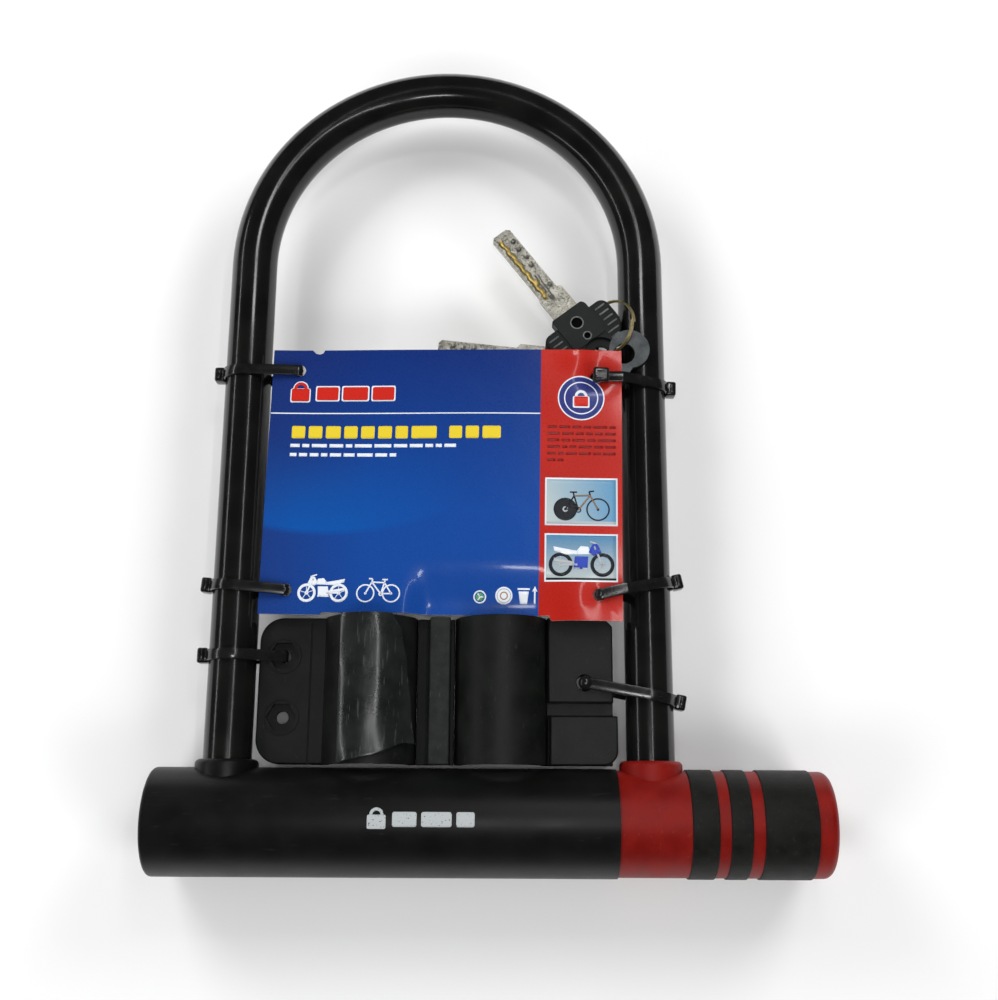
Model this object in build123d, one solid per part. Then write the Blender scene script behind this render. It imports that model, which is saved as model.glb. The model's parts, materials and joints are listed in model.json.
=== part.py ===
from build123d import *
import math
import os

# U lock lying on its back. Modelled with X along the crossbar, Y from the crossbar to the
# arc and Z up; the crossbar's axis is X. All sizes are in mm.

# Shackle
leg_spacing = 175.0
rod_r = 9.0
coat_r = 10.0
arc_y = 245.2
leg_bottom_y = -12.0
coat_bottom_y = 21.5
leg_x = leg_spacing / 2

# Crossbar
bar_r = 21.75
bar_left_x = -116.8
bar_right_x = 159.3
tube_r = 18.6
tube_wall = 2.6
tube_bore_r = tube_r - tube_wall
tube_left_x = -114.0
tube_right_x = 150.0
cover_right_x = 72.8
insert_r = tube_bore_r - 0.05
leg_clearance = 0.3
spigot_r = 12.0

# Collars at the legs
collar_r = 13.0
collar_top_y = 24.9
collar_hole_r = coat_r + leg_clearance

# Red lock sleeve, grip rings and end cap
sleeve_r = 21.2
groove_r = 20.0
sleeve_right_x = 151.1
ring_spans = [(101.1, 111.8), (116.3, 124.9), (129.7, 151.1)]
cap_edge_r = 3.5

# Keyhole flap, on a pin along Z
hinge_x = 157.6
hinge_y = 9.0
flap_thickness = 1.6
flap_half_width = 7.2
flap_drop = 16.6
knuckle_r = 1.5
flap_pin_r = 0.8
pocket_half_width = 7.7

# Locking shaft, bushes, cylinder
shaft_r = 5.0
running_gap = 0.05
bush_width = 4.0
bush_xs = [-102.0, -70.0, 70.0]
notch_r = shaft_r + 0.2
flat_z = -0.2
tongue_z = 0.3
plug_r = 6.45
plug_left_x = 103.8
plug_right_x = 149.0
flange_r = 7.6
flange_width = 2.0
housing_left_x = 101.0
housing_right_x = 149.5
keyway_half_thickness = 1.3
keyway_half_width = 4.8
pin_r = 1.4
pin_xs = [111.0 + 6.0 * i for i in range(5)]

# Card, on the legs' upper inner sides
card_left_x = -75.9
card_right_x = 76.5
card_low_y = 84.4
card_high_y = 200.6
card_left_low_y = 83.4
card_left_step_x = -50.0
card_right_low_y = 82.1
card_right_step_x = 47.0
card_turn = -0.7
card_left_z = 8.0
card_right_z = 14.2
card_flat_x = 45.0
card_thickness = 0.8
card_hole_r = 3.2
card_cut_z = (-5.0, 25.0)

# Frame bracket
bracket_low_y = 23.0
bracket_high_y = 83.6
plate_low_z = -4.0
plate_high_z = 2.0
ear_left_x = -76.0
ear_corner_r = 10.0
ear_groove_x = (-54.6, -53.8)
ear_groove_depth = 0.8
bracket_edge_r = 0.8
bolt_x = -65.8
bolt_ys = (42.1, 67.5)
bolt_r = 2.7
recess_r = 6.4
recess_depth = 3.0
saddle_r = 19.6
saddle_wall = 3.2
saddle_z = -3.0
left_saddle_x = -29.5
right_saddle_x = 25.7
strap_half_width = 4.2
strap_high_z = 7.5
block_left_x = 45.0
block_right_x = 72.0
block_high_z = 6.0
block_split_y = (43.0, 48.4)
block_chamfer = 3.5
block_hole_r = 3.4
latch_extra = 1.7
latch_corner_r = 6.0
hinge_pin_r = 1.5
hinge_pin_z = 1.5
liner_thickness = 1.6
liner_left = 11.5
liner_right = 15.5

# Keys
blade_length = 48.0
blade_low_y = -5.4
blade_high_y = 4.2
blade_tip_chamfer = 1.4
blade_groove_y = (0.6, 2.2)
blade_groove_depth = 0.5
blade_groove_end_x = -6.0
shoulder_half_width = 6.2
shoulder_length = 12.0
blade_thickness = 2.4
head_front_half_width = 8.8
nose_corner_r = 1.6
head_front_length = 4.5
head_half_width = 17.2
head_back_x = 24.0
head_front_corner_r = 4.0
head_back_corner_r = 9.5
head_thickness = 5.4
head_rise = 0.6
head_hole_x = 25.0
head_hole_r = 3.8
tab_r = 7.4
tab_thickness = 1.8
head_edge_r = 0.8
head_centre_x = 9.2
head_centre_length = 17.6
head_centre_corner_r = 2.5
head_recesses = ((7.5, 2.5), (15.0, 1.5))
head_recess_depth = 1.0
key_places = {
    1: Pos(53.7, 220.8, 5.8) * Rot(0, 0, -52.3),
    2: Pos(44.1, 202.0, -4.1) * Rot(0, 0, -6.0),
}
bare_bow_centre = (81.0, 201.5)
bare_bow_r = 8.8
bare_bow_z = (10.4, 12.3)
bare_hole = (78.6, 199.3)
bare_hole_r = 4.7
bare_turn = 60.0
ring_centre = (73.2, 213.0, 8.2)
ring_tilt = -41.7
ring_r = 12.2
ring_wire_r = 0.8
ring_groove_gap = 0.2

# Cable ties: side of the lock, place of the band on the leg, and the hole that it goes down
tie_width = 4.6
tie_thickness = 1.1
tie_end_r = 0.5
tie_end_inset = 0.9
tie_head = (4.4, 6.4, 6.6)
tie_head_out = 0.9
tie_head_corner_r = 1.0
tie_card_block = (7.0, 4.4, 6.6)
card_block_tie = 3
tie_places = [
    (-1, 192.0, (-63.6, 192.0)),
    (-1, 96.4, (-65.5, 94.6)),
    (-1, 67.5, (bolt_x, bolt_ys[1])),
    (1, 187.0, (66.2, 187.8)),
    (1, 97.0, (66.2, 92.2)),
    (1, 51.4, (60.2, 56.6)),
]
card_holes = [tie_places[i][2] for i in (0, 1, 3, 4)]

# Where the row's frame has its origin: below the middle of the whole lock
arc_top_y = arc_y + leg_x + coat_r
frame_shift = Pos(-(bar_left_x + bar_right_x) / 2, (bar_r - arc_top_y) / 2, bar_r)


def box(x0, x1, y0, y1, z0, z1):
    return Pos((x0 + x1) / 2, (y0 + y1) / 2, (z0 + z1) / 2) * Box(x1 - x0, y1 - y0, z1 - z0)


def rod_x(x0, x1, r, y=0.0, z=0.0):
    return Pos((x0 + x1) / 2, y, z) * Rot(0, 90, 0) * Cylinder(r, x1 - x0)


def rod_y(y0, y1, r, x=0.0, z=0.0):
    return Pos(x, (y0 + y1) / 2, z) * Rot(90, 0, 0) * Cylinder(r, y1 - y0)


def rod_z(z0, z1, r, x=0.0, y=0.0):
    return Pos(x, y, (z0 + z1) / 2) * Cylinder(r, z1 - z0)


def ring_x(x0, x1, r_out, r_in):
    return rod_x(x0, x1, r_out) - rod_x(x0 - 1, x1 + 1, r_in)


def u_shape(r, low_y):
    legs = [rod_y(low_y, arc_y, r, x=side * leg_x) for side in (-1, 1)]
    arc = Pos(0, arc_y, 0) * Torus(leg_x, r, major_angle=180, align=None)
    return legs[0] + arc + legs[1]


def shackle_rod():
    u = u_shape(rod_r, leg_bottom_y)
    for side in (-1, 1):
        x = side * leg_x
        below_shaft = box(x - 10, x + 10, leg_bottom_y - 1, notch_r + 1, -rod_r - 1, tongue_z)
        u -= below_shaft
        u -= rod_x(x - 10, x + 10, notch_r)
    return u


def shackle_coat():
    return u_shape(coat_r, coat_bottom_y) - u_shape(rod_r, coat_bottom_y - 1)


def leg_hole(x, r):
    return rod_y(0, bar_r + 6, r, x=x)


def crossbar_tube():
    tube = ring_x(tube_left_x, tube_right_x, tube_r, tube_bore_r)
    for side in (-1, 1):
        tube -= leg_hole(side * leg_x, rod_r + leg_clearance)
    return tube


def crossbar_cover():
    solid = rod_x(bar_left_x, cover_right_x, bar_r)
    left_rim = solid.edges().sort_by(Axis.X)[0]
    solid = fillet(left_rim, 1.6)
    solid -= rod_x(tube_left_x, cover_right_x + 1, tube_r)
    return solid - leg_hole(-leg_x, spigot_r)


def collar(x):
    dome = rod_y(0, collar_top_y, collar_r, x=x)
    rim = dome.edges().sort_by(Axis.Y)[-1]
    return fillet(rim, 2.0)


def left_collar():
    seat = rod_x(-leg_x - 20, -leg_x + 20, bar_r)
    flange = collar(-leg_x) - seat
    spigot = leg_hole(-leg_x, spigot_r - 0.05) & ring_x(-leg_x - 20, -leg_x + 20, bar_r, tube_r)
    return flange + spigot - leg_hole(-leg_x, collar_hole_r)


def left_end_plug():
    return rod_x(tube_left_x, tube_left_x + 6, insert_r)


def lock_sleeve():
    sleeve = rod_x(cover_right_x, sleeve_right_x, sleeve_r) + collar(leg_x)
    for x0, x1 in ring_spans:
        sleeve -= ring_x(x0, x1, bar_r + 5, groove_r)
    sleeve -= rod_x(cover_right_x - 1, sleeve_right_x + 1, tube_r)
    return sleeve - leg_hole(leg_x, collar_hole_r)


def grip_ring(x0, x1):
    band = rod_x(x0, x1, bar_r)
    band = fillet(band.edges(), 0.5)
    return band - rod_x(x0 - 1, x1 + 1, groove_r)


def end_cap():
    cap = rod_x(sleeve_right_x, bar_right_x, sleeve_r)
    outer_rim = cap.edges().sort_by(Axis.X)[-1]
    cap = fillet(outer_rim, cap_edge_r)
    cap += rod_x(tube_right_x + 0.1, sleeve_right_x, tube_r - 0.1)
    cap -= rod_x(tube_right_x, bar_right_x, 6.8)
    cap -= box(hinge_x - 0.5, bar_right_x + 1, hinge_y - flap_drop - 0.5, hinge_y + 2.2,
               -pocket_half_width, pocket_half_width)
    cap -= rod_z(-pocket_half_width, pocket_half_width, knuckle_r + 0.5, x=hinge_x, y=hinge_y)
    return cap - rod_z(-9.2, 9.2, flap_pin_r, x=hinge_x, y=hinge_y)


def keyhole_flap():
    plate = box(hinge_x, hinge_x + flap_thickness, hinge_y - flap_drop, hinge_y,
                -flap_half_width, flap_half_width)
    low_corners = plate.edges().filter_by(Axis.X).group_by(Axis.Y)[0]
    plate = fillet(low_corners, 4.0)
    knuckle = rod_z(-flap_half_width, flap_half_width, knuckle_r, x=hinge_x, y=hinge_y)
    return plate + knuckle - rod_z(-9, 9, flap_pin_r + running_gap, x=hinge_x, y=hinge_y)


def flap_pin():
    return rod_z(-9.2, 9.2, flap_pin_r, x=hinge_x, y=hinge_y)


def shaft_bush(x):
    return ring_x(x - bush_width / 2, x + bush_width / 2, insert_r, shaft_r + running_gap)


def locking_shaft():
    shaft = rod_x(bush_xs[0] - bush_width / 2, plug_left_x, shaft_r)
    for side in (-1, 1):
        x = side * leg_x
        shaft -= box(x - 10, x + 10, -6, 6, flat_z, 6)
    tongue = box(plug_left_x, plug_left_x + 2.8, -3.5, 3.5, -1.4, 1.4)
    return shaft + tongue


def key_plug():
    plug = rod_x(plug_left_x, plug_right_x, plug_r)
    plug += rod_x(plug_right_x - flange_width, plug_right_x, flange_r)
    plug -= box(plug_left_x - 1, plug_left_x + 3, -7, 7, -1.5, 1.5)
    plug -= box(plug_left_x + 5, plug_right_x + 1, -keyway_half_width, keyway_half_width,
                -keyway_half_thickness, keyway_half_thickness)
    for x in pin_xs:
        plug -= rod_y(0, plug_r + 1, pin_r + 0.05, x=x)
    return plug


def key_pins():
    return Compound([rod_y(2.4, plug_r - 0.35, pin_r, x=x) for x in pin_xs])


def driver_pins():
    return Compound([rod_y(plug_r + 0.15, plug_r + 3.2, pin_r, x=x) for x in pin_xs])


def pin_springs():
    springs = []
    for x in pin_xs:
        coil = rod_y(plug_r + 3.3, insert_r - 0.6, pin_r - 0.1, x=x)
        springs.append(coil - rod_y(plug_r + 3, insert_r, pin_r - 0.5, x=x))
    return Compound(springs)


def cylinder_housing():
    housing = rod_x(housing_left_x, housing_right_x, insert_r)
    housing -= rod_x(plug_left_x - 0.3, housing_right_x + 1, plug_r + running_gap)
    housing -= rod_x(housing_left_x - 1, plug_left_x, shaft_r + running_gap)
    housing -= rod_x(plug_right_x - flange_width - 0.1, housing_right_x + 1, flange_r + running_gap)
    for x in pin_xs:
        housing -= rod_y(plug_r, tube_r, pin_r + 0.05, x=x)
    return housing - rod_y(-tube_r, -plug_r - 4, 2.0, x=pin_xs[2])


def set_screw():
    return rod_y(-insert_r + 0.4, -plug_r - 4.2, 1.95, x=pin_xs[2])


def card_mid_z(x):
    if x >= card_flat_x:
        return card_right_z
    share = (x - card_left_x) / (card_flat_x - card_left_x)
    return card_left_z + (card_right_z - card_left_z) * share * share * (3 - 2 * share)


def display_card():
    steps = 12
    xs = [card_left_x + (card_flat_x - card_left_x) * i / steps for i in range(steps + 1)]
    line = [(x, card_mid_z(x)) for x in xs]
    half = card_thickness / 2
    with BuildSketch(Plane.XZ) as section:
        with BuildLine():
            top = Spline([(x, z + half) for x, z in line], tangents=[(1, 0), (1, 0)])
            low = Spline([(x, z - half) for x, z in line], tangents=[(1, 0), (1, 0)])
            Polyline(top @ 1, (card_right_x, card_right_z + half),
                     (card_right_x, card_right_z - half), low @ 1)
            Line(top @ 0, low @ 0)
        make_face()
    card = Pos(0, card_high_y, 0) * extrude(section.sketch, card_high_y - card_right_low_y)
    card -= box(card_left_step_x, card_right_step_x, 0, card_low_y, *card_cut_z)
    card -= box(card_left_x - 1, card_left_step_x, 0, card_left_low_y, *card_cut_z)
    card = card.rotate(Axis((0, (card_low_y + card_high_y) / 2, 0), (0, 0, 1)), card_turn)
    for x, y in card_holes:
        card -= rod_z(*card_cut_z, card_hole_r, x=x, y=y)
    return card


def tie_loop_r(number):
    side, leg_y, (hole_x, hole_y) = tie_places[number]
    slant = math.atan2(abs(hole_y - leg_y), abs(hole_x - side * leg_x))
    return coat_r / math.cos(slant) + tie_width / 2 * math.tan(slant) + 0.25


def tie_circles(number):
    side, leg_y, (hole_x, hole_y) = tie_places[number]
    reach = math.hypot(hole_x - side * leg_x, hole_y - leg_y) - tie_end_inset
    if number in (0, 1):
        points = [(reach, card_mid_z(hole_x), tie_end_r)]
    elif number in (3, 4):
        edge = leg_x - card_right_x - 0.6
        points = [(reach, card_right_z, tie_end_r), (edge, card_right_z + 0.6, tie_end_r)]
        if number == card_block_tie:
            points.append((reach, 4.0, tie_end_r))
    elif number == 2:
        points = [(reach, plate_high_z - recess_depth, tie_end_r), (reach, plate_low_z, tie_end_r),
                  (leg_x + ear_left_x - 0.4, plate_high_z + 1.2, tie_end_r)]
    else:
        edge = leg_x - block_right_x - 0.6
        points = [(reach, block_high_z + 0.6, tie_end_r), (reach, plate_low_z - 0.6, tie_end_r),
                  (edge, block_high_z + 0.8, tie_end_r)]
    return [(0.0, 0.0, tie_loop_r(number))] + points


def tie_plane(number):
    side, leg_y, (hole_x, hole_y) = tie_places[number]
    along = Vector(hole_x - side * leg_x, hole_y - leg_y, 0).normalized()
    across = Vector(0, 0, 1).cross(along)
    return Plane(origin=(side * leg_x, leg_y, 0), x_dir=along, z_dir=across * -1)


def hull_band(circles, grow):
    edges = []
    for x, y, r in circles:
        edges += (Pos(x, y) * Circle(r + grow)).edges()
    return make_hull(edges)


def cable_tie(number):
    circles = tie_circles(number)
    loop = extrude(hull_band(circles, tie_thickness), tie_width / 2, both=True)
    loop -= extrude(hull_band(circles, 0), tie_width, both=True)
    outside = tie_loop_r(number) + tie_thickness
    head = Pos(-outside - tie_head_out, 0, 0) * Box(*tie_head)
    head = fillet(head.edges().filter_by(Axis.X), tie_head_corner_r)
    loop += head - Cylinder(tie_loop_r(number), 2 * tie_width)
    if number == card_block_tie:
        loop += Pos(circles[1][0] - 1.0, circles[1][1] + 3.4, 0) * Box(*tie_card_block)
    return tie_plane(number).location * loop


def saddle_bore(x):
    return rod_y(bracket_low_y - 1, bracket_high_y + 1, saddle_r - saddle_wall, x=x, z=saddle_z)


def saddle_shell(x):
    low, high = bracket_low_y, bracket_high_y
    shell = rod_y(low, high, saddle_r, x=x, z=saddle_z)
    above = box(x - 25, x + 25, low, high, saddle_z, saddle_z + 25)
    return (shell & above) - saddle_bore(x)


def clamp_half_left():
    plate = box(ear_left_x, left_saddle_x - saddle_r + 2.6, bracket_low_y, bracket_high_y,
                plate_low_z, plate_high_z)
    plate = fillet(plate.edges().filter_by(Axis.Z).group_by(Axis.X)[0], ear_corner_r)
    plate = fillet(plate.faces().sort_by(Axis.Z)[-1].edges(), bracket_edge_r)
    plate -= saddle_bore(left_saddle_x)
    for y in bolt_ys:
        plate -= rod_z(plate_low_z - 1, plate_high_z + 1, bolt_r, x=bolt_x, y=y)
        hexagon = Plane.XY * Pos(bolt_x, y) * RegularPolygon(recess_r, 6)
        plate -= Pos(0, 0, plate_high_z - recess_depth) * extrude(hexagon, recess_depth + 1)
    plate -= box(*ear_groove_x, bracket_low_y - 1, bracket_high_y + 1,
                 plate_high_z - ear_groove_depth, plate_high_z + 1)
    return plate + saddle_shell(left_saddle_x)


def hinge_strap():
    left = left_saddle_x + saddle_r
    right = right_saddle_x - saddle_r
    web = box(left + 0.2, right - 0.2, bracket_low_y, bracket_high_y, plate_low_z, -0.6)
    rib = box(-strap_half_width, strap_half_width, bracket_low_y, bracket_high_y, plate_low_z, strap_high_z)
    rib = fillet(rib.faces().sort_by(Axis.Z)[-1].edges(), 0.6)
    return web + rib - rod_y(bracket_low_y - 1, bracket_high_y + 1, hinge_pin_r, z=hinge_pin_z)


def hinge_pin():
    return rod_y(bracket_low_y + 0.5, bracket_high_y - 0.5, hinge_pin_r, z=hinge_pin_z)


def clamp_half_right():
    low, high = bracket_low_y, bracket_high_y
    base = box(right_saddle_x + saddle_r - 2.4, block_right_x, low, high, plate_low_z, 2.0)
    block = box(block_left_x, block_right_x, block_split_y[1], high, 1.0, block_high_z)
    bevel = block.edges().filter_by(Axis.Z).group_by(Axis.X)[-1].sort_by(Axis.Y)[-1]
    block = chamfer(bevel, block_chamfer)
    block = fillet(block.faces().sort_by(Axis.Z)[-1].edges(), bracket_edge_r)
    base -= box(block_right_x - block_chamfer, block_right_x + 1, high - block_chamfer, high + 1,
                plate_low_z - 1, 3)
    base -= box(block_left_x, block_right_x + 1, low - 1, block_split_y[0] + 0.3, -1.0, 3)
    right = base + block
    right -= saddle_bore(right_saddle_x)
    hole_x, hole_y = tie_places[5][2]
    right -= rod_z(plate_low_z - 1, block_high_z + 1, block_hole_r, x=hole_x, y=hole_y)
    return right + saddle_shell(right_saddle_x)


def latch_block():
    right_x = block_right_x + latch_extra
    low, high = bracket_low_y, block_split_y[0]
    block = box(right_saddle_x + saddle_r + 0.4, right_x, low, high, -0.8, block_high_z)
    corner = block.edges().filter_by(Axis.Z).group_by(Axis.X)[-1].sort_by(Axis.Y)[0]
    block = fillet(corner, latch_corner_r)
    return fillet(block.faces().sort_by(Axis.Z)[-1].edges(), bracket_edge_r)


def rubber_liner():
    low, high = bracket_low_y + 0.4, bracket_high_y + 0.6
    inner = saddle_r + 0.15
    outer = inner + liner_thickness
    band = rod_y(low, high, outer, x=left_saddle_x, z=saddle_z)
    band -= rod_y(low - 1, high + 1, inner, x=left_saddle_x, z=saddle_z)
    return band & box(left_saddle_x - liner_left, left_saddle_x + liner_right, low, high,
                      saddle_z, saddle_z + 30)


def key_outline():
    back = head_back_x
    half = head_half_width
    front = head_front_length
    body = Pos((front + back) / 2, 0) * Rectangle(back - front, 2 * half)
    body = fillet(body.vertices().group_by(Axis.X)[0], head_front_corner_r)
    body = fillet(body.vertices().group_by(Axis.X)[-1], head_back_corner_r)
    nose = Pos(front, 0) * Rectangle(2 * front, 2 * head_front_half_width)
    nose = fillet(nose.vertices().group_by(Axis.X)[0], nose_corner_r)
    return body + nose


def key_blade_shape():
    neck = Pos(-blade_length / 2, (blade_low_y + blade_high_y) / 2) * Rectangle(
        blade_length, blade_high_y - blade_low_y)
    neck = chamfer(neck.vertices().group_by(Axis.X)[0], blade_tip_chamfer)
    tang_end = head_hole_x - tab_r - 3
    shoulder = Pos((tang_end - shoulder_length) / 2, 0) * Rectangle(
        tang_end + shoulder_length, 2 * shoulder_half_width)
    shoulder = fillet(shoulder.vertices().group_by(Axis.X)[0], 1.0)
    blade = extrude(neck + shoulder, blade_thickness / 2, both=True)
    for face in (-1, 1):
        z = face * blade_thickness / 2
        blade -= box(-blade_length - 1, blade_groove_end_x, *blade_groove_y,
                     z - blade_groove_depth, z + blade_groove_depth)
    return blade


def key_head_shape():
    head = extrude(key_outline(), head_thickness / 2, both=True)
    head = fillet(head.faces().sort_by(Axis.Z)[-1].edges(), head_edge_r)
    head = fillet(head.faces().sort_by(Axis.Z)[0].edges(), head_edge_r)
    centre = Pos(head_centre_x, 0) * RectangleRounded(
        head_centre_length, 2 * head_front_half_width, head_centre_corner_r)
    rise = head_thickness / 2 + head_rise
    head += extrude(centre, rise)
    for x, r in head_recesses:
        head -= rod_z(rise - head_recess_depth, rise + 1, r, x=x)
    head -= Pos(head_hole_x, 0) * Cylinder(tab_r, 2 * head_thickness)
    head += Pos(head_hole_x, 0) * Cylinder(tab_r + 0.05, tab_thickness)
    head -= Pos(head_hole_x, 0) * Cylinder(head_hole_r, 2 * head_thickness)
    return head - key_blade_shape()


def bare_key():
    z0, z1 = bare_bow_z
    bow = rod_z(z0, z1, bare_bow_r, x=bare_bow_centre[0], y=bare_bow_centre[1])
    length = bare_bow_r + blade_length
    blade = box(-length, 0, blade_low_y, blade_high_y, z0, z1)
    bow += Pos(*bare_bow_centre) * Rot(0, 0, bare_turn) * blade
    return bow - rod_z(z0 - 1, z1 + 1, bare_hole_r, x=bare_hole[0], y=bare_hole[1])


def key_ring(extra_r=0.0):
    return Pos(*ring_centre) * Rot(0, ring_tilt, 0) * Torus(ring_r, ring_wire_r + extra_r)


def key_head(number):
    head = key_places[number] * key_head_shape()
    return head - key_ring(ring_groove_gap) if number == 1 else head


parts = {
    "crossbar_tube": crossbar_tube(),
    "crossbar_cover": crossbar_cover(),
    "left_collar": left_collar(),
    "left_end_plug": left_end_plug(),
    "lock_sleeve": lock_sleeve(),
    "end_cap": end_cap(),
    "keyhole_flap": keyhole_flap(),
    "flap_pin": flap_pin(),
    "locking_shaft": locking_shaft(),
    "key_plug": key_plug(),
    "key_pins": key_pins(),
    "driver_pins": driver_pins(),
    "pin_springs": pin_springs(),
    "cylinder_housing": cylinder_housing(),
    "set_screw": set_screw(),
    "shackle_rod": shackle_rod(),
    "shackle_coat": shackle_coat(),
    "display_card": display_card(),
    "clamp_half_left": clamp_half_left(),
    "clamp_half_right": clamp_half_right(),
    "hinge_strap": hinge_strap(),
    "hinge_pin": hinge_pin(),
    "latch_block": latch_block(),
    "rubber_liner": rubber_liner(),
    "bare_key": bare_key(),
    "key_ring": key_ring(),
}
for number, span in enumerate(ring_spans, 1):
    parts[f"grip_ring_{number}"] = grip_ring(*span)
for number, x in enumerate(bush_xs, 1):
    parts[f"shaft_bush_{number}"] = shaft_bush(x)
for number in range(len(tie_places)):
    parts[f"cable_tie_{number + 1}"] = cable_tie(number)
for number, place in key_places.items():
    parts[f"key_{number}_blade"] = place * key_blade_shape()
    parts[f"key_{number}_head"] = key_head(number)

os.makedirs("parts", exist_ok=True)
for name, part in parts.items():
    export_step(frame_shift * part, f"parts/{name}.step")
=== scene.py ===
import bpy
import bmesh
import json
import math
import random
from mathutils import Matrix, Vector, noise
from mathutils.geometry import convex_hull_2d


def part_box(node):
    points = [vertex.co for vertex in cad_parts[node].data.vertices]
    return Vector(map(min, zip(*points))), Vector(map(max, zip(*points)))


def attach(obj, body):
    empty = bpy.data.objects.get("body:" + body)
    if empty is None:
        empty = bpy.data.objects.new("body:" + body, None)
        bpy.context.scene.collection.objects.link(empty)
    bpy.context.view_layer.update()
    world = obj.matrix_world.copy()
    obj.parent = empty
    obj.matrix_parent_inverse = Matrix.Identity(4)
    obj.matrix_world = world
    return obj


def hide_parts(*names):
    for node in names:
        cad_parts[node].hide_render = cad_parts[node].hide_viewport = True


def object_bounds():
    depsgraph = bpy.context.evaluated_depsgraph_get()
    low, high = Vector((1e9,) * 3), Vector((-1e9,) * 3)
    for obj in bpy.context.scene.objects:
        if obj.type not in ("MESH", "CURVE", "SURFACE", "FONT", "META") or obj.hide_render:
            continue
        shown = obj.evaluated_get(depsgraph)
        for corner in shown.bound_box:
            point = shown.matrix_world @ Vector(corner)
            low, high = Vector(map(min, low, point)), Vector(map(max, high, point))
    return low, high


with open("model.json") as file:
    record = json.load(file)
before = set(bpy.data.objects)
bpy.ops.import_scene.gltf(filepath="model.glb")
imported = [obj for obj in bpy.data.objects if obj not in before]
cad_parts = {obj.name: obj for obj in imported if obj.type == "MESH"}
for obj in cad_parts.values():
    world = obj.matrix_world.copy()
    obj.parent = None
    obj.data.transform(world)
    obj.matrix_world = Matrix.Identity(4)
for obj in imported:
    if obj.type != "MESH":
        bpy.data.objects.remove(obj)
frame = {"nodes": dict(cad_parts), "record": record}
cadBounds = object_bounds()
print("frame loaded,", len(frame["nodes"]), "nodes")

mm = 0.001
tubeLow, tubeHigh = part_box("crossbar_tube")
rodLow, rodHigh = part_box("shackle_rod")
coatLow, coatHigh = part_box("shackle_coat")
barAxis = Vector(((rodLow.x + rodHigh.x) / 2, (tubeLow.y + tubeHigh.y) / 2, (tubeLow.z + tubeHigh.z) / 2))
coatR = (coatHigh.z - coatLow.z) / 2 / mm      # coated leg's radius, mm
legX = (coatHigh.x - coatLow.x) / 2 / mm - coatR


def at(x, y, z=0.0):        # mm from the crossbar's axis, midway between the legs
    return barAxis + Vector((x, y, z)) * mm


def nodeSpan(node):         # a CAD node's lowest and highest corners in those mm
    low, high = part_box(node)
    return (low - barAxis) / mm, (high - barAxis) / mm


def smooth(share):
    share = min(1.0, max(0.0, share))
    return share * share * (3 - 2 * share)


def steps(low, high, step):
    count = max(1, round((high - low) / step))
    return [low + (high - low) * i / count for i in range(count + 1)]


# materials: nodes are chained by these few helpers

noiseSpan = (0.3, 0.7)      # most of a noise texture's values lie between these

def addNode(tree, kind, inputs=None, **settings):
    node = tree.nodes.new(kind)
    for name, value in settings.items():
        setattr(node, name, value)
    for name, value in (inputs or {}).items():
        node.inputs[name].default_value = value
    return node


def startMaterial(name, metallic=0.0, coat=0.0, coatRoughness=0.1, ior=1.5):
    material = bpy.data.materials.new(name)
    material.use_nodes = True
    tree = material.node_tree
    shader = tree.nodes["Principled BSDF"]
    shader.inputs["Metallic"].default_value = metallic
    shader.inputs["Coat Weight"].default_value = coat
    shader.inputs["Coat Roughness"].default_value = coatRoughness
    shader.inputs["IOR"].default_value = ior
    coords = addNode(tree, "ShaderNodeTexCoord").outputs["Object"]
    return material, tree, shader, coords


def noiseValue(tree, coords, featureMm, detail=3.0, stretch=None, roughness=0.5):
    if stretch:
        mapping = addNode(tree, "ShaderNodeMapping", {"Scale": stretch})
        tree.links.new(coords, mapping.inputs["Vector"])
        coords = mapping.outputs["Vector"]
    node = addNode(tree, "ShaderNodeTexNoise",
                   {"Scale": 1 / (featureMm * mm), "Detail": detail, "Roughness": roughness})
    tree.links.new(coords, node.inputs["Vector"])
    return node.outputs["Fac"]


def remap(tree, value, low, high, toLow=0.0, toHigh=1.0):
    limits = {"From Min": low, "From Max": high, "To Min": toLow, "To Max": toHigh}
    node = addNode(tree, "ShaderNodeMapRange", limits)
    tree.links.new(value, node.inputs["Value"])
    return node.outputs["Result"]


def blendColours(tree, factor, first, second):
    node = addNode(tree, "ShaderNodeMix", data_type="RGBA")
    for socket, value in ((node.inputs[0], factor), (node.inputs[6], first), (node.inputs[7], second)):
        if isinstance(value, tuple):
            socket.default_value = (*value, 1.0)
        elif isinstance(value, (int, float)):
            socket.default_value = value
        else:
            tree.links.new(value, socket)
    return node.outputs[2]


def calculate(tree, operation, first, second):
    node = addNode(tree, "ShaderNodeMath", operation=operation)
    for socket, value in zip(node.inputs, (first, second)):
        if isinstance(value, (int, float)):
            socket.default_value = value
        else:
            tree.links.new(value, socket)
    return node.outputs[0]


def distanceFrom(tree, coords, x, y, z=0.0, stretch=(1, 1, 1)):      # metres from a place in the lock
    middle = -at(x, y, z) * Vector(stretch)
    mapping = addNode(tree, "ShaderNodeMapping", {"Location": middle, "Scale": stretch})
    tree.links.new(coords, mapping.inputs["Vector"])
    node = addNode(tree, "ShaderNodeVectorMath", operation="LENGTH")
    tree.links.new(mapping.outputs["Vector"], node.inputs[0])
    return node.outputs["Value"]


def addBump(tree, shader, heights):      # heights are (value, depth in mm)
    normal = None
    for value, depthMm in heights:
        bump = addNode(tree, "ShaderNodeBump", {"Strength": 1.0, "Distance": depthMm * mm})
        tree.links.new(value, bump.inputs["Height"])
        if normal:
            tree.links.new(normal, bump.inputs["Normal"])
        normal = bump.outputs["Normal"]
    tree.links.new(normal, shader.inputs["Normal"])


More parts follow.
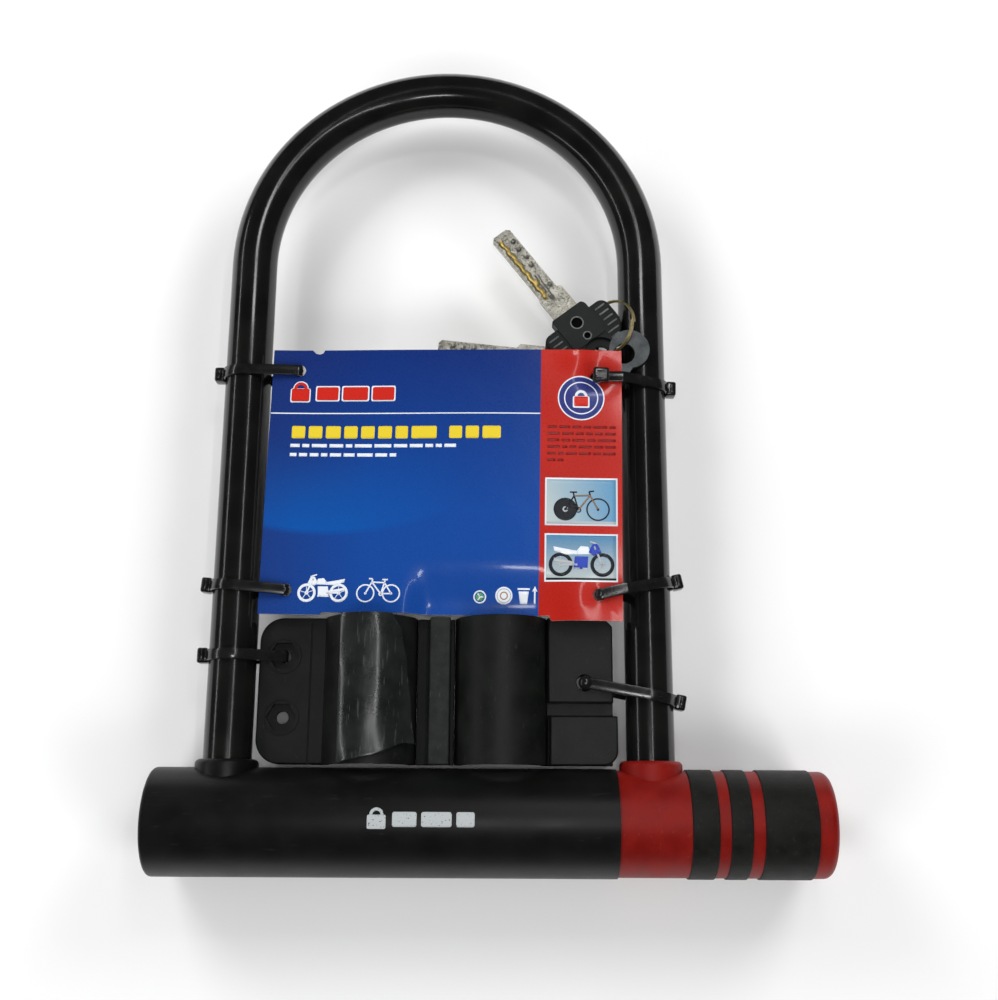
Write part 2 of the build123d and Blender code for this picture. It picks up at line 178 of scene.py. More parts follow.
plasticDefaults = dict(coat=0.0, coatRoughness=0.15, ior=1.38, grainStretch=None, patchSpan=(0.35, 0.65),
                       scuffEdge=0.05, dustSpan=(0.62, 0.78), scuffRough=0.10, grainRough=0.03)


def mouldedPlastic(name, look):
    look = {**plasticDefaults, **look}
    material, tree, shader, coords = startMaterial(name, coat=look["coat"], ior=look["ior"],
                                                   coatRoughness=look["coatRoughness"])
    patches = noiseValue(tree, coords, look["patchMm"], 4.0)
    grain = noiseValue(tree, coords, look["grainMm"], 2.0, look["grainStretch"])
    lines = noiseValue(tree, coords, look["scuffMm"], 2.0, look["scuffStretch"], 0.6)
    scuffs = remap(tree, lines, look["scuffCut"], look["scuffCut"] + look["scuffEdge"])
    dust = remap(tree, noiseValue(tree, coords, look["dustMm"], 2.0), *look["dustSpan"])
    base = blendColours(tree, remap(tree, patches, *look["patchSpan"]), look["dark"], look["light"])
    base = blendColours(tree, calculate(tree, "MULTIPLY", scuffs, look["scuffShow"]), base, look["scuff"])
    base = blendColours(tree, calculate(tree, "MULTIPLY", dust, look["dustShow"]), base, look["dust"])
    tree.links.new(base, shader.inputs["Base Color"])
    rough = remap(tree, patches, *noiseSpan, *look["rough"])
    rough = calculate(tree, "ADD", rough, calculate(tree, "MULTIPLY", scuffs, look["scuffRough"]))
    grainRough = remap(tree, grain, *noiseSpan, -look["grainRough"], look["grainRough"])
    tree.links.new(calculate(tree, "ADD", rough, grainRough), shader.inputs["Roughness"])
    addBump(tree, shader, [(grain, look["grainDepth"]), (patches, look["waveDepth"])])
    return material


plasticLooks = {    # colours are linear, sizes in mm
    "coat": dict(dark=(0.0035, 0.0035, 0.0037), light=(0.007, 0.007, 0.0065), scuff=(0.04, 0.04, 0.038),
                 dust=(0.05, 0.05, 0.045), patchMm=24, grainMm=0.9, scuffMm=1.5,
                 scuffStretch=(1, 0.08, 1), scuffCut=0.70, scuffShow=0.2, dustMm=0.5, dustShow=0.02,
                 rough=(0.15, 0.22), grainDepth=0.004, waveDepth=0.12, coat=0.25, coatRoughness=0.08),
    "cover": dict(dark=(0.0028, 0.0030, 0.0028), light=(0.0050, 0.0052, 0.0048),
                  scuff=(0.035, 0.035, 0.034), dust=(0.045, 0.045, 0.042), patchMm=14, grainMm=0.5,
                  scuffMm=1.1, scuffStretch=(0.12, 1, 1), scuffCut=0.68, scuffShow=0.25, dustMm=0.6,
                  dustShow=0.05, rough=(0.36, 0.44), grainDepth=0.018, waveDepth=0.02),
    "red": dict(dark=(0.150, 0.0040, 0.0026), light=(0.195, 0.0070, 0.0045), scuff=(0.32, 0.07, 0.06),
                dust=(0.28, 0.14, 0.12), patchMm=9, grainMm=0.4, scuffMm=0.9, scuffStretch=(1, 0.2, 1),
                scuffCut=0.68, scuffShow=0.25, dustMm=0.7, dustShow=0.04, rough=(0.42, 0.52),
                grainDepth=0.020, waveDepth=0.03),
    "grip": dict(dark=(0.0050, 0.0050, 0.0045), light=(0.0090, 0.0088, 0.0080),
                 scuff=(0.06, 0.055, 0.055), dust=(0.08, 0.07, 0.07), patchMm=5, grainMm=0.35,
                 scuffMm=0.8, scuffStretch=(1, 0.25, 1), scuffCut=0.66, scuffShow=0.3, dustMm=0.6,
                 dustShow=0.10, rough=(0.50, 0.62), grainDepth=0.030, waveDepth=0.02),
    "bracket": dict(dark=(0.0040, 0.0048, 0.0042), light=(0.0075, 0.0085, 0.0075),
                    scuff=(0.05, 0.05, 0.048), dust=(0.07, 0.07, 0.065), patchMm=11, grainMm=0.5,
                    grainStretch=(1, 0.5, 1), scuffMm=1.2, scuffStretch=(1, 0.3, 1), scuffCut=0.67,
                    scuffShow=0.25, dustMm=0.8, dustShow=0.06, rough=(0.42, 0.54), grainDepth=0.030,
                    waveDepth=0.03),
    "strap": dict(dark=(0.011, 0.013, 0.012), light=(0.019, 0.022, 0.020), scuff=(0.07, 0.07, 0.07),
                  dust=(0.10, 0.10, 0.095), patchMm=4, grainMm=0.6, scuffMm=1.2, scuffStretch=(1, 0.3, 1),
                  scuffCut=0.67, scuffShow=0.3, dustMm=0.7, dustShow=0.12, rough=(0.58, 0.70),
                  grainDepth=0.07, waveDepth=0.03),
    "liner": dict(dark=(0.0065, 0.0078, 0.0075), light=(0.012, 0.0140, 0.0135), scuff=(0.09, 0.095, 0.09),
                  dust=(0.10, 0.10, 0.095), patchMm=9, grainMm=1.6, scuffMm=0.9,
                  scuffStretch=(1, 0.10, 1), scuffCut=0.62, scuffShow=0.3, dustMm=0.7, dustShow=0.08,
                  rough=(0.24, 0.36), grainDepth=0.03, waveDepth=0.22, coat=0.9, coatRoughness=0.20,
                  ior=1.5),
    "tie": dict(dark=(0.0045, 0.0045, 0.0045), light=(0.0085, 0.0085, 0.0085), scuff=(0.04, 0.04, 0.04),
                dust=(0.05, 0.05, 0.045), patchMm=5, grainMm=0.4, scuffMm=0.8, scuffStretch=(0.2, 1, 1),
                scuffCut=0.68, scuffShow=0.3, dustMm=0.5, dustShow=0.03, rough=(0.16, 0.24),
                grainDepth=0.008, waveDepth=0.04, coat=0.3, coatRoughness=0.12, ior=1.5),
    # key ribs: pale plastic that is partly scuffing and partly a painted highlight along each rib
    "keyRibScuffAndHighlight": dict(dark=(0.055, 0.060, 0.060), light=(0.150, 0.160, 0.160), scuff=(0.20, 0.20, 0.19),
                   dust=(0.10, 0.10, 0.095), patchMm=1.2, grainMm=0.3, scuffMm=0.5,
                   scuffStretch=(1, 1, 1), scuffCut=0.58, scuffShow=0.6, dustMm=0.5, dustShow=0.1,
                   rough=(0.34, 0.44), grainDepth=0.012, waveDepth=0.02),
    # pits: painted shade, a near-black matte floor set into each recess of the key head
    "pit": dict(dark=(0.0015, 0.0015, 0.0015), light=(0.0030, 0.0030, 0.0030), scuff=(0.02, 0.02, 0.02),
                dust=(0.03, 0.03, 0.03), patchMm=1.5, grainMm=0.3, scuffMm=0.7, scuffStretch=(1, 1, 1),
                scuffCut=0.68, scuffShow=0.2, dustMm=0.5, dustShow=0.05, rough=(0.60, 0.75),
                grainDepth=0.02, waveDepth=0.02, ior=1.15),
    "keyHead": dict(dark=(0.0075, 0.0090, 0.0084), light=(0.0125, 0.0145, 0.0135),
                    scuff=(0.06, 0.06, 0.06), dust=(0.08, 0.08, 0.075), patchMm=5, grainMm=0.3,
                    scuffMm=0.7, scuffStretch=(1, 0.4, 1), scuffCut=0.67, scuffShow=0.3, dustMm=0.5,
                    dustShow=0.05, rough=(0.40, 0.52), grainDepth=0.012, waveDepth=0.02, ior=1.3),
}
plastics = {name: mouldedPlastic(name + "Plastic", look) for name, look in plasticLooks.items()}


metalDefaults = dict(patchSpan=(0.35, 0.65), pitSpan=(0.56, 0.68))


def platedMetal(name, look):
    look = {**metalDefaults, **look}
    material, tree, shader, coords = startMaterial(name, metallic=1.0)
    patches = noiseValue(tree, coords, look["patchMm"], 4.0)
    brushed = noiseValue(tree, coords, look["brushMm"], 3.0, look["brushStretch"], 0.6)
    pits = remap(tree, noiseValue(tree, coords, look["pitMm"], 2.0), *look["pitSpan"])
    base = blendColours(tree, remap(tree, patches, *look["patchSpan"]), look["first"], look["second"])
    base = blendColours(tree, calculate(tree, "MULTIPLY", pits, look["pitShow"]), base, look["pit"])
    if "exposed" in look:       # milled faces show the brass under the plating
        share = addNode(tree, "ShaderNodeAttribute", attribute_name="exposed").outputs["Fac"]
        base = blendColours(tree, share, base, look["exposed"])
    tree.links.new(base, shader.inputs["Base Color"])
    rough = remap(tree, brushed, *noiseSpan, *look["rough"])
    tree.links.new(rough, shader.inputs["Roughness"])
    addBump(tree, shader, [(brushed, look["brushDepth"]), (pits, -look["pitDepth"])])
    return material


metalLooks = {
    "nickel": dict(first=(0.36, 0.35, 0.30), second=(0.58, 0.56, 0.49), pit=(0.12, 0.115, 0.10),
                   exposed=(0.90, 0.66, 0.20), patchMm=3, brushMm=0.6, brushStretch=(1, 1, 1), pitMm=0.8,
                   pitShow=0.75, rough=(0.30, 0.50), brushDepth=0.05, pitDepth=0.06),
    "darkNickel": dict(first=(0.10, 0.11, 0.115), second=(0.16, 0.175, 0.18), pit=(0.06, 0.06, 0.06),
                       patchMm=5, brushMm=0.6, brushStretch=(1, 1, 1), pitMm=1.2, pitShow=0.3,
                       rough=(0.42, 0.55), brushDepth=0.015, pitDepth=0.02),
    "brass": dict(first=(0.62, 0.50, 0.24), second=(0.80, 0.68, 0.38), pit=(0.20, 0.14, 0.05), patchMm=5,
                  brushMm=0.4, brushStretch=(1, 1, 6), pitMm=1.1, pitShow=0.4, rough=(0.28, 0.42),
                  brushDepth=0.01, pitDepth=0.01),
    "steel": dict(first=(0.42, 0.42, 0.43), second=(0.56, 0.56, 0.57), pit=(0.22, 0.20, 0.18), patchMm=8,
                  brushMm=0.5, brushStretch=(1, 8, 1), pitMm=1.5, pitShow=0.35, rough=(0.24, 0.38),
                  brushDepth=0.012, pitDepth=0.01),
}
metals = {name: platedMetal(name + "Metal", look) for name, look in metalLooks.items()}

laminateSet = dict(coat=0.35, coatRoughness=0.09, ior=1.25, rough=(0.24, 0.36), speckMm=0.9,
                   speckDepth=0.030, waveMm=16, waveDepth=0.35, fibreMm=0.35, fibreSpan=(0.35, 0.75),
                   fibreShow=0.015, fibre=(0.5, 0.55, 0.65))


def laminated(name, makeBase):      # printed card under a thin clear film
    material, tree, shader, coords = startMaterial(name, coat=laminateSet["coat"], ior=laminateSet["ior"],
                                                   coatRoughness=laminateSet["coatRoughness"])
    specks = noiseValue(tree, coords, laminateSet["speckMm"], 2.0)
    waves = noiseValue(tree, coords, laminateSet["waveMm"], 2.0)
    fibres = noiseValue(tree, coords, laminateSet["fibreMm"], 2.0)
    fibres = remap(tree, fibres, *laminateSet["fibreSpan"], 0.0, laminateSet["fibreShow"])
    base = blendColours(tree, fibres, makeBase(tree, coords), laminateSet["fibre"])
    tree.links.new(base, shader.inputs["Base Color"])
    rough = remap(tree, specks, *noiseSpan, *laminateSet["rough"])
    tree.links.new(rough, shader.inputs["Roughness"])
    addBump(tree, shader, [(specks, laminateSet["speckDepth"]), (waves, laminateSet["waveDepth"])])
    return material


# one blue is painted shade, darkening the card's left part where the leg shades it; the glow and the horizon
# band are print
blueField = dict(deep=(0.004, 0.022, 0.150), royal=(0.005, 0.054, 0.280), glow=(0.002, 0.072, 0.33),
                 paintedShade=(0.010, 0.018, 0.10), heights=(90, 200), deepFrom=0.35, paintedShadeX=(-30, -78),
                 paintedShadeShow=0.55, horizon=(-48, 176), horizonStretch=(0.62, 1, 0), horizonR=55.5, softMm=3.0,
                 bandMm=34.0, glowAt=(-52, 122), glowStretch=(1, 0.6, 0), glowReach=(62.0, 10.0))


def blueBase(tree, coords):
    separate = addNode(tree, "ShaderNodeSeparateXYZ")
    tree.links.new(coords, separate.inputs["Vector"])
    lowY, highY = (at(0, y).y for y in blueField["heights"])
    upward = remap(tree, separate.outputs["Y"], lowY, highY)
    # the field darkens towards the top: partly the print's own gradient, partly painted sheen brightening
    # the lower part
    deepening = remap(tree, upward, blueField["deepFrom"], 1.0)
    field = blendColours(tree, deepening, blueField["royal"], blueField["deep"])
    # painted shade: the blue darkens towards the left, where the leg shades the card
    rightX, leftX = (at(x, 0).x for x in blueField["paintedShadeX"])
    paintedShadeShare = remap(tree, separate.outputs["X"], rightX, leftX, 0.0, blueField["paintedShadeShow"])
    field = blendColours(tree, paintedShadeShare, field, blueField["paintedShade"])
    away = distanceFrom(tree, coords, *blueField["horizon"], stretch=blueField["horizonStretch"])
    edge = blueField["horizonR"] * mm
    inside = remap(tree, away, edge + blueField["softMm"] * mm, edge)
    band = remap(tree, away, edge - blueField["bandMm"] * mm, edge)
    glowAway = distanceFrom(tree, coords, *blueField["glowAt"], stretch=blueField["glowStretch"])
    aside = remap(tree, glowAway, *(reach * mm for reach in blueField["glowReach"]))
    lit = calculate(tree, "MULTIPLY", calculate(tree, "MULTIPLY", inside, band), aside)
    return blendColours(tree, lit, field, blueField["glow"])


mottledTones = {    # size of the mottling in mm, its detail and its two colours
    "red": (30, 2.0, (0.385, 0.0120, 0.0055), (0.43, 0.0150, 0.0075)),
    "paper": (6, 4.0, (0.62, 0.61, 0.58), (0.72, 0.71, 0.68)),
}


def mottledBase(tree, coords, tone):
    sizeMm, detail, first, second = mottledTones[tone]
    share = remap(tree, noiseValue(tree, coords, sizeMm, detail), *noiseSpan)
    return blendColours(tree, share, first, second)


def redBase(tree, coords):
    return mottledBase(tree, coords, "red")


def paperBase(tree, coords):
    return mottledBase(tree, coords, "paper")


def inkBase(tree, coords):
    return addNode(tree, "ShaderNodeAttribute", attribute_name="ink").outputs["Color"]


cardBlue = laminated("cardBlue", blueBase)
cardRed = laminated("cardRed", redBase)
cardInk = laminated("cardInk", inkBase)
cardPaper = laminated("cardPaper", paperBase)

padInk = dict(fresh=(0.42, 0.45, 0.46), worn=(0.05, 0.05, 0.05), wearMm=0.7, wearSpan=(0.62, 0.70),
              roughMm=2.0, rough=(0.45, 0.6))


def makePadPrint():
    material, tree, shader, coords = startMaterial("padPrint")
    wear = remap(tree, noiseValue(tree, coords, padInk["wearMm"], 3.0), *padInk["wearSpan"])
    tree.links.new(blendColours(tree, wear, padInk["fresh"], padInk["worn"]), shader.inputs["Base Color"])
    rough = remap(tree, noiseValue(tree, coords, padInk["roughMm"]), *noiseSpan, *padInk["rough"])
    tree.links.new(rough, shader.inputs["Roughness"])
    return material


padPrint = makePadPrint()
print("materials made")


# mesh helpers: new shapes are in mm about the crossbar's axis until placeInLock

def shadeByAngle(bm, degrees=32):
    limit = math.radians(degrees)
    for face in bm.faces:
        face.smooth = True
    for edge in bm.edges:
        edge.smooth = len(edge.link_faces) != 2 or edge.calc_face_angle(0.0) < limit


def makePiece(name, bm, body, materials, replaced=(), degrees=32):
    shadeByAngle(bm, degrees)
    mesh = bpy.data.meshes.new(name)
    bm.to_mesh(mesh)
    bm.free()
    for material in materials:
        mesh.materials.append(material)
    piece = bpy.data.objects.new(name, mesh)
    bpy.context.scene.collection.objects.link(piece)
    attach(piece, body)
    if replaced:
        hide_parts(*replaced)
    return piece


def addBevel(piece, widthMm, segments=2, degrees=35):
    bevel = piece.modifiers.new("edges", "BEVEL")
    bevel.width = widthMm * mm
    bevel.segments = segments
    bevel.limit_method = "ANGLE"
    bevel.angle_limit = math.radians(degrees)
    bevel.use_clamp_overlap = True
    return piece


def addWall(piece, thicknessMm, offset=-1.0):
    wall = piece.modifiers.new("wall", "SOLIDIFY")
    wall.thickness = thicknessMm * mm
    wall.offset = offset
    return piece


def placeInLock(bm):
    bmesh.ops.scale(bm, vec=(mm, mm, mm), verts=bm.verts)
    bmesh.ops.translate(bm, vec=barAxis, verts=bm.verts)


def fillLoops(bm, loops, z=0.0):           # the first loop is the outside, the rest are holes
    made = []
    for points in loops:
        verts = [bm.verts.new((x, y, z)) for x, y in points]
        made += [bm.edges.new((verts[i - 1], verts[i])) for i in range(len(verts))]
    filled = bmesh.ops.triangle_fill(bm, edges=made, use_beauty=True)
    faces = [item for item in filled["geom"] if isinstance(item, bmesh.types.BMFace)]
    for face in faces:
        face.normal_update()
        if face.normal.z < 0:
            face.normal_flip()
    return faces


def sliceMesh(bm, xs=(), ys=()):
    for axis, places in ((Vector((1, 0, 0)), xs), (Vector((0, 1, 0)), ys)):
        for place in places:
            bmesh.ops.bisect_plane(bm, geom=bm.verts[:] + bm.edges[:] + bm.faces[:], dist=1e-5,
                                   plane_co=axis * place, plane_no=axis)


def thicken(bm, faces, depth):             # a flat sheet becomes a closed plate, depth high
    made = bmesh.ops.extrude_face_region(bm, geom=faces)
    verts = [item for item in made["geom"] if isinstance(item, bmesh.types.BMVert)]
    bmesh.ops.translate(bm, verts=verts, vec=(0, 0, depth))
    bmesh.ops.recalc_face_normals(bm, faces=bm.faces)


def circlePoints(x, y, r, count=32, start=0.0, turn=360.0):
    last = count if turn >= 360.0 else count - 1
    return [(x + r * math.cos(math.radians(start + turn * i / last)),
             y + r * math.sin(math.radians(start + turn * i / last))) for i in range(count)]


def rectanglePoints(x0, y0, x1, y1, r=0.0):
    if not r:
        return [(x0, y0), (x1, y0), (x1, y1), (x0, y1)]
    corners = ((x1 - r, y0 + r, -90), (x1 - r, y1 - r, 0), (x0 + r, y1 - r, 90), (x0 + r, y0 + r, 180))
    points = []
    for cornerX, cornerY, start in corners:
        points += circlePoints(cornerX, cornerY, r, count=5, start=start, turn=90)
    return points


def strokePoints(x0, y0, x1, y1, width):
    along = Vector((x1 - x0, y1 - y0)).normalized()
    aside = Vector((-along.y, along.x)) * width / 2
    ends = ((x0, y0, 1), (x1, y1, 1), (x1, y1, -1), (x0, y0, -1))
    return [(x - side * aside.x, y - side * aside.y) for x, y, side in ends]


def cadCopy(node, body, material, widthMm, segments=2, flatDegrees=0.6):
    bm = bmesh.new()
    bm.from_mesh(frame["nodes"][node].data)
    bmesh.ops.remove_doubles(bm, verts=bm.verts, dist=2e-6)
    bmesh.ops.dissolve_limit(bm, angle_limit=math.radians(flatDegrees), verts=bm.verts, edges=bm.edges)
    piece = makePiece(node + ".soft", bm, body, [material], [node])
    return addBevel(piece, widthMm, segments)


nodeFinish = {
    "bare_steel": metals["steel"], "black_cover": plastics["cover"], "red_plastic": plastics["red"],
    "grip_rubber": plastics["grip"], "cylinder_brass": metals["brass"],
    "bracket_plastic": plastics["bracket"], "strap_plastic": plastics["strap"],
    "coat_plastic": plastics["coat"], "liner_rubber": plastics["liner"], "tie_nylon": plastics["tie"],
    "ring_brass": metals["brass"], "key_nickel": metals["nickel"], "head_plastic": plastics["keyHead"],
    "card_print": cardPaper,
}
nodeSlot = {entry["node"]: entry["material_slot"] for entry in frame["record"]["subparts"]}
for node, thing in frame["nodes"].items():
    thing.data.materials.clear()
    thing.data.materials.append(nodeFinish[nodeSlot[node]])
frame["nodes"]["bare_key"].data.materials[0] = metals["darkNickel"]

softEdges = {   # node: bevel width in mm
    "crossbar_cover": 0.5, "left_collar": 0.5, "lock_sleeve": 0.4, "grip_ring_1": 0.25,
    "grip_ring_2": 0.25, "grip_ring_3": 0.25, "end_cap": 0.4, "keyhole_flap": 0.25,
    "clamp_half_left": 0.4, "clamp_half_right": 0.4, "hinge_strap": 0.35, "latch_block": 0.35,
}
nodeBody = {node: body for body, nodes in frame["record"]["behaviour"]["bodies"].items() for node in nodes}
for node, width in softEdges.items():
    cadCopy(node, nodeBody[node], nodeFinish[nodeSlot[node]], width)
print("CAD nodes finished, copies with soft edges made")


card = dict(pivot=(-0.294, 1.153), turnDegrees=-0.7, left=-75.9, right=76.5, top=58.1, low=-58.1,
            leftLow=-59.1, rightLow=-60.4, leftStep=-50.0, rightStep=47.0, stepLean=1, redFrom=41.6,
            thickness=0.55, holeR=2.7, gridMm=1.7, gridX=(-72, 72), gridY=(-56, 56), leftZ=8.0, rightZ=14.2,
            flatFrom=45.0, droop=5.0, droopFrom=-34.0, droopOver=24, droopLeft=(-16, 12),
            droopRight=(58, 18), waveMm=0.25, waveX=(13, 0.6), waveY=19,
            holes=((-63.6, 192.0), (-65.5, 94.6), (66.2, 187.8), (66.2, 92.2)),
            pressed=(0.6, 0.6, 1.5, 0.7), pressedSpread=4.0,
            notch=((-53.4, 58.1), (-54.2, 56.7), (-55.6, 56.2), (-57.4, 56.6), (-58.8, 58.1)),
            curl=(57.0, 55.0, 0.8, 4.0))       # turned-up spot on the top edge: place, height, spread
cardLow, cardHigh = nodeSpan("display_card")
cardMiddle = (cardLow + cardHigh) / 2 + Vector((*card["pivot"], 0))
cardTurn = Matrix.Rotation(math.radians(card["turnDegrees"]), 2)


def onCard(x, y):           # lock mm to the card's own
    return cardTurn.transposed() @ Vector((x - cardMiddle.x, y - cardMiddle.y))


cardHoles = [onCard(*place) for place in card["holes"]]
cardColumns = steps(*card["gridX"], card["gridMm"])
cardRows = steps(*card["gridY"], card["gridMm"])


def spot(u, v, centreU, centreV, spread):
    return math.exp(-((u - centreU) ** 2 + (v - centreV) ** 2) / (2 * spread * spread))


def cardHeight(u, v):
    share = (u - card["left"]) / (card["flatFrom"] - card["left"])
    height = card["leftZ"] + (card["rightZ"] - card["leftZ"]) * smooth(share)
    leftEnd, leftOver = card["droopLeft"]
    rightEnd, rightOver = card["droopRight"]
    span = smooth((u - leftEnd) / leftOver) * smooth((rightEnd - u) / rightOver)
    height -= card["droop"] * smooth((card["droopFrom"] - v) / card["droopOver"]) * span
    waveX, phase = card["waveX"]
    height += card["waveMm"] * math.sin(u / waveX + phase) * math.cos(v / card["waveY"])
    for (holeU, holeV), depth in zip(cardHoles, card["pressed"]):
        height -= depth * spot(u, v, holeU, holeV, card["pressedSpread"])
    curlU, curlV, lift, spread = card["curl"]
    return height + lift * spot(u, v, curlU, curlV, spread)


def layOnCard(bm, lift=0.0):
    for vert in bm.verts:
        u, v, z = vert.co
        flat = cardTurn @ Vector((u, v))
        vert.co = (flat.x + cardMiddle.x, flat.y + cardMiddle.y, cardHeight(u, v) + z + lift)


def makeCard():
    left, right, top, low = card["left"], card["right"], card["top"], card["low"]
    leftStep, rightStep, lean = card["leftStep"], card["rightStep"], card["stepLean"]
    outline = [(left, card["leftLow"]), (leftStep, card["leftLow"]), (leftStep + lean, low),
               (rightStep - lean, low), (rightStep, card["rightLow"]), (right, card["rightLow"]),
               (right, top), *card["notch"], (left, top)]
    holes = [circlePoints(u, v, card["holeR"], 28) for u, v in cardHoles]
    bm = bmesh.new()
    fillLoops(bm, [outline] + holes)
    sliceMesh(bm, cardColumns + [card["redFrom"]], cardRows)
    thicken(bm, bm.faces[:], card["thickness"])
    materials = [cardBlue, cardRed, cardPaper]
    for face in bm.faces:
        face.normal_update()
        printed = cardRed if face.calc_center_median().x > card["redFrom"] else cardBlue
        face.material_index = materials.index(printed if face.normal.z > 0.5 else cardPaper)
    layOnCard(bm, -card["thickness"] / 2)
    placeInLock(bm)
    return makePiece("displayCard", bm, "shackle", materials, ["display_card"], 50)


makeCard()

inkColours = dict(white=(0.74, 0.78, 0.84), yellow=(0.72, 0.55, 0.03), red=(0.52, 0.018, 0.010),
                  navy=(0.020, 0.028, 0.165), darkRed=(0.20, 0.010, 0.008), dark=(0.012, 0.014, 0.018),
                  grey=(0.40, 0.43, 0.45), green=(0.10, 0.30, 0.14), tan=(0.36, 0.20, 0.10),
                  bodyBlue=(0.03, 0.06, 0.40))


# in shares of the sign's size
padlockSign = dict(half=0.42, low=0.5, shoulder=0.12, corner=0.08, bowR=0.32, innerR=0.18)


def padlockLoops(x, y, size):       # body and bow of a plain padlock sign
    half, shoulder = size * padlockSign["half"], y + size * padlockSign["shoulder"]
    body = rectanglePoints(x - half, y - size * padlockSign["low"], x + half, shoulder,
                           size * padlockSign["corner"])
    bow = circlePoints(x, shoulder, size * padlockSign["bowR"], 13, 0, 180)
    bow += circlePoints(x, shoulder, size * padlockSign["innerR"], 13, 180, -180)
    return [body, bow]


def bicycleLines(x, y, size, facing=1):      # strokes from the rear hub at x, y; size is the wheelbase
    def p(a, b):
        return x + facing * a * size, y + b * size
    hub, crank, seat, head, front = p(0, 0), p(0.40, -0.02), p(0.27, 0.42), p(0.76, 0.44), p(1, 0)
    lines = [(hub, crank), (hub, seat), (crank, seat), (seat, head), (crank, head), (head, front),
             (seat, p(0.24, 0.54)), (p(0.14, 0.54), p(0.36, 0.54)), (head, p(0.73, 0.56)),
             (p(0.73, 0.56), p(0.88, 0.58))]
    return [(*a, *b) for a, b in lines]


class InkSheet:             # flat shapes that are then laid on a surface
    levelMm = 0.016         # each level of ink lies this much above the one under it

    def __init__(self):
        self.bm = bmesh.new()
        self.layer = self.bm.loops.layers.float_color.new("ink")

    def shape(self, loops, colour, level=1):
        for face in fillLoops(self.bm, loops, self.levelMm * level):
            for loop in face.loops:
                tint = colour(loop.vert.co.x, loop.vert.co.y) if callable(colour) else inkColours[colour]
                loop[self.layer] = (*tint, 1.0)

    def ring(self, x, y, r, width, colour, level=1, count=40):
        self.shape([circlePoints(x, y, r, count), circlePoints(x, y, r - width, count)], colour, level)

    def disc(self, x, y, r, colour, level=1):
        self.shape([circlePoints(x, y, r, 36)], colour, level)

    def stroke(self, line, width, colour, level=1):
        self.shape([strokePoints(*line, width)], colour, level)

    def bar(self, x0, y0, x1, y1, colour, level=1, r=0.0):
        self.shape([rectanglePoints(x0, y0, x1, y1, r)], colour, level)

    def dashes(self, x0, x1, y0, y1, colour, lengths, gap, dice, r=0.0):
        x = x0
        while x < x1 - 0.5:
            end = x + dice.uniform(*lengths)
            end = x1 if end > x1 - lengths[0] - gap else end
            self.bar(x, y0, end, y1, colour, 2, r)
            x = end + gap

    def bicycle(self, x, y, size, width, colour, level, facing=1):
        for hub in (x, x + facing * size):
            self.ring(hub, y, size * 0.36, width, colour, level)
            self.disc(hub, y, width * 0.9, colour, level)
        for line in bicycleLines(x, y, size, facing):
            self.stroke(line, width, colour, level)
        self.ring(x + facing * size * 0.40, y - size * 0.02, size * 0.09, width * 0.8, colour, level, 16)


wheelShares = dict(r=0.29, tyre=0.085, hubR=0.06, spoke=0.20, spokeWidth=0.022, spokes=5, firstDegrees=20)


def drawMotorcycle(sheet, x, y, size, tyre, metal, tank, fairing, level, facing=1):
    spoke, spokes = size * wheelShares["spoke"], wheelShares["spokes"]
    for hub in (x, x + facing * size):
        sheet.ring(hub, y, size * wheelShares["r"], size * wheelShares["tyre"], tyre, level)
        sheet.disc(hub, y, size * wheelShares["hubR"], metal, level)
        for turn in range(spokes):
            angle = math.radians(360 / spokes * turn + wheelShares["firstDegrees"])
            sheet.stroke((hub, y, hub + spoke * math.cos(angle), y + spoke * math.sin(angle)),
                         size * wheelShares["spokeWidth"], metal, level)
    plates = [      # tank, seat, tail, engine, silencer in shares of the wheelbase
        (((0.26, 0.26), (0.34, 0.44), (0.52, 0.46), (0.62, 0.34), (0.58, 0.25)), tank),
        (((0.58, 0.25), (0.62, 0.34), (0.98, 0.40), (1.18, 0.44), (1.16, 0.33), (0.86, 0.24)), tank),
        (((0.36, -0.12), (0.34, 0.20), (0.66, 0.20), (0.70, -0.10)), fairing),
        (((0.66, -0.02), (0.68, 0.07), (1.16, 0.16), (1.18, 0.08)), metal),
        (((0.02, 0.30), (0.12, 0.52), (0.24, 0.50), (0.34, 0.30), (0.22, 0.22)), fairing),
    ]
    for corners, colour in plates:
        sheet.shape([[(x + facing * a * size, y + b * size) for a, b in corners]], colour, level + 1)
    tubes = (((0, 0, 0.20, 0.46), 0.05), ((0.10, 0.50, 0.30, 0.57), 0.04),
             ((0.34, -0.10, 0.70, -0.10), 0.05), ((0.60, 0.0, 1.0, 0.0), 0.05))
    for (x0, y0, x1, y1), width in tubes:
        sheet.stroke((x + facing * x0 * size, y + y0 * size, x + facing * x1 * size, y + y1 * size),
                     width * size, metal, level + 1)


pictureTones = dict(sky=((0.46, 0.52, 0.50), (0.10, 0.27, 0.45)),
                    road=((0.42, 0.47, 0.47), (0.06, 0.20, 0.36)))


def blendTones(name, share):
    return tuple(a + (b - a) * share for a, b in zip(*pictureTones[name]))


def skyColour(u, v):        # pale at the left and low, blue at the top right
    return blendTones("sky", smooth((u - 44) / 34 + (v + 20) / 60))


def roadColour(u, v):       # pale at the foot
    return blendTones("road", smooth((v + 43) / 14))


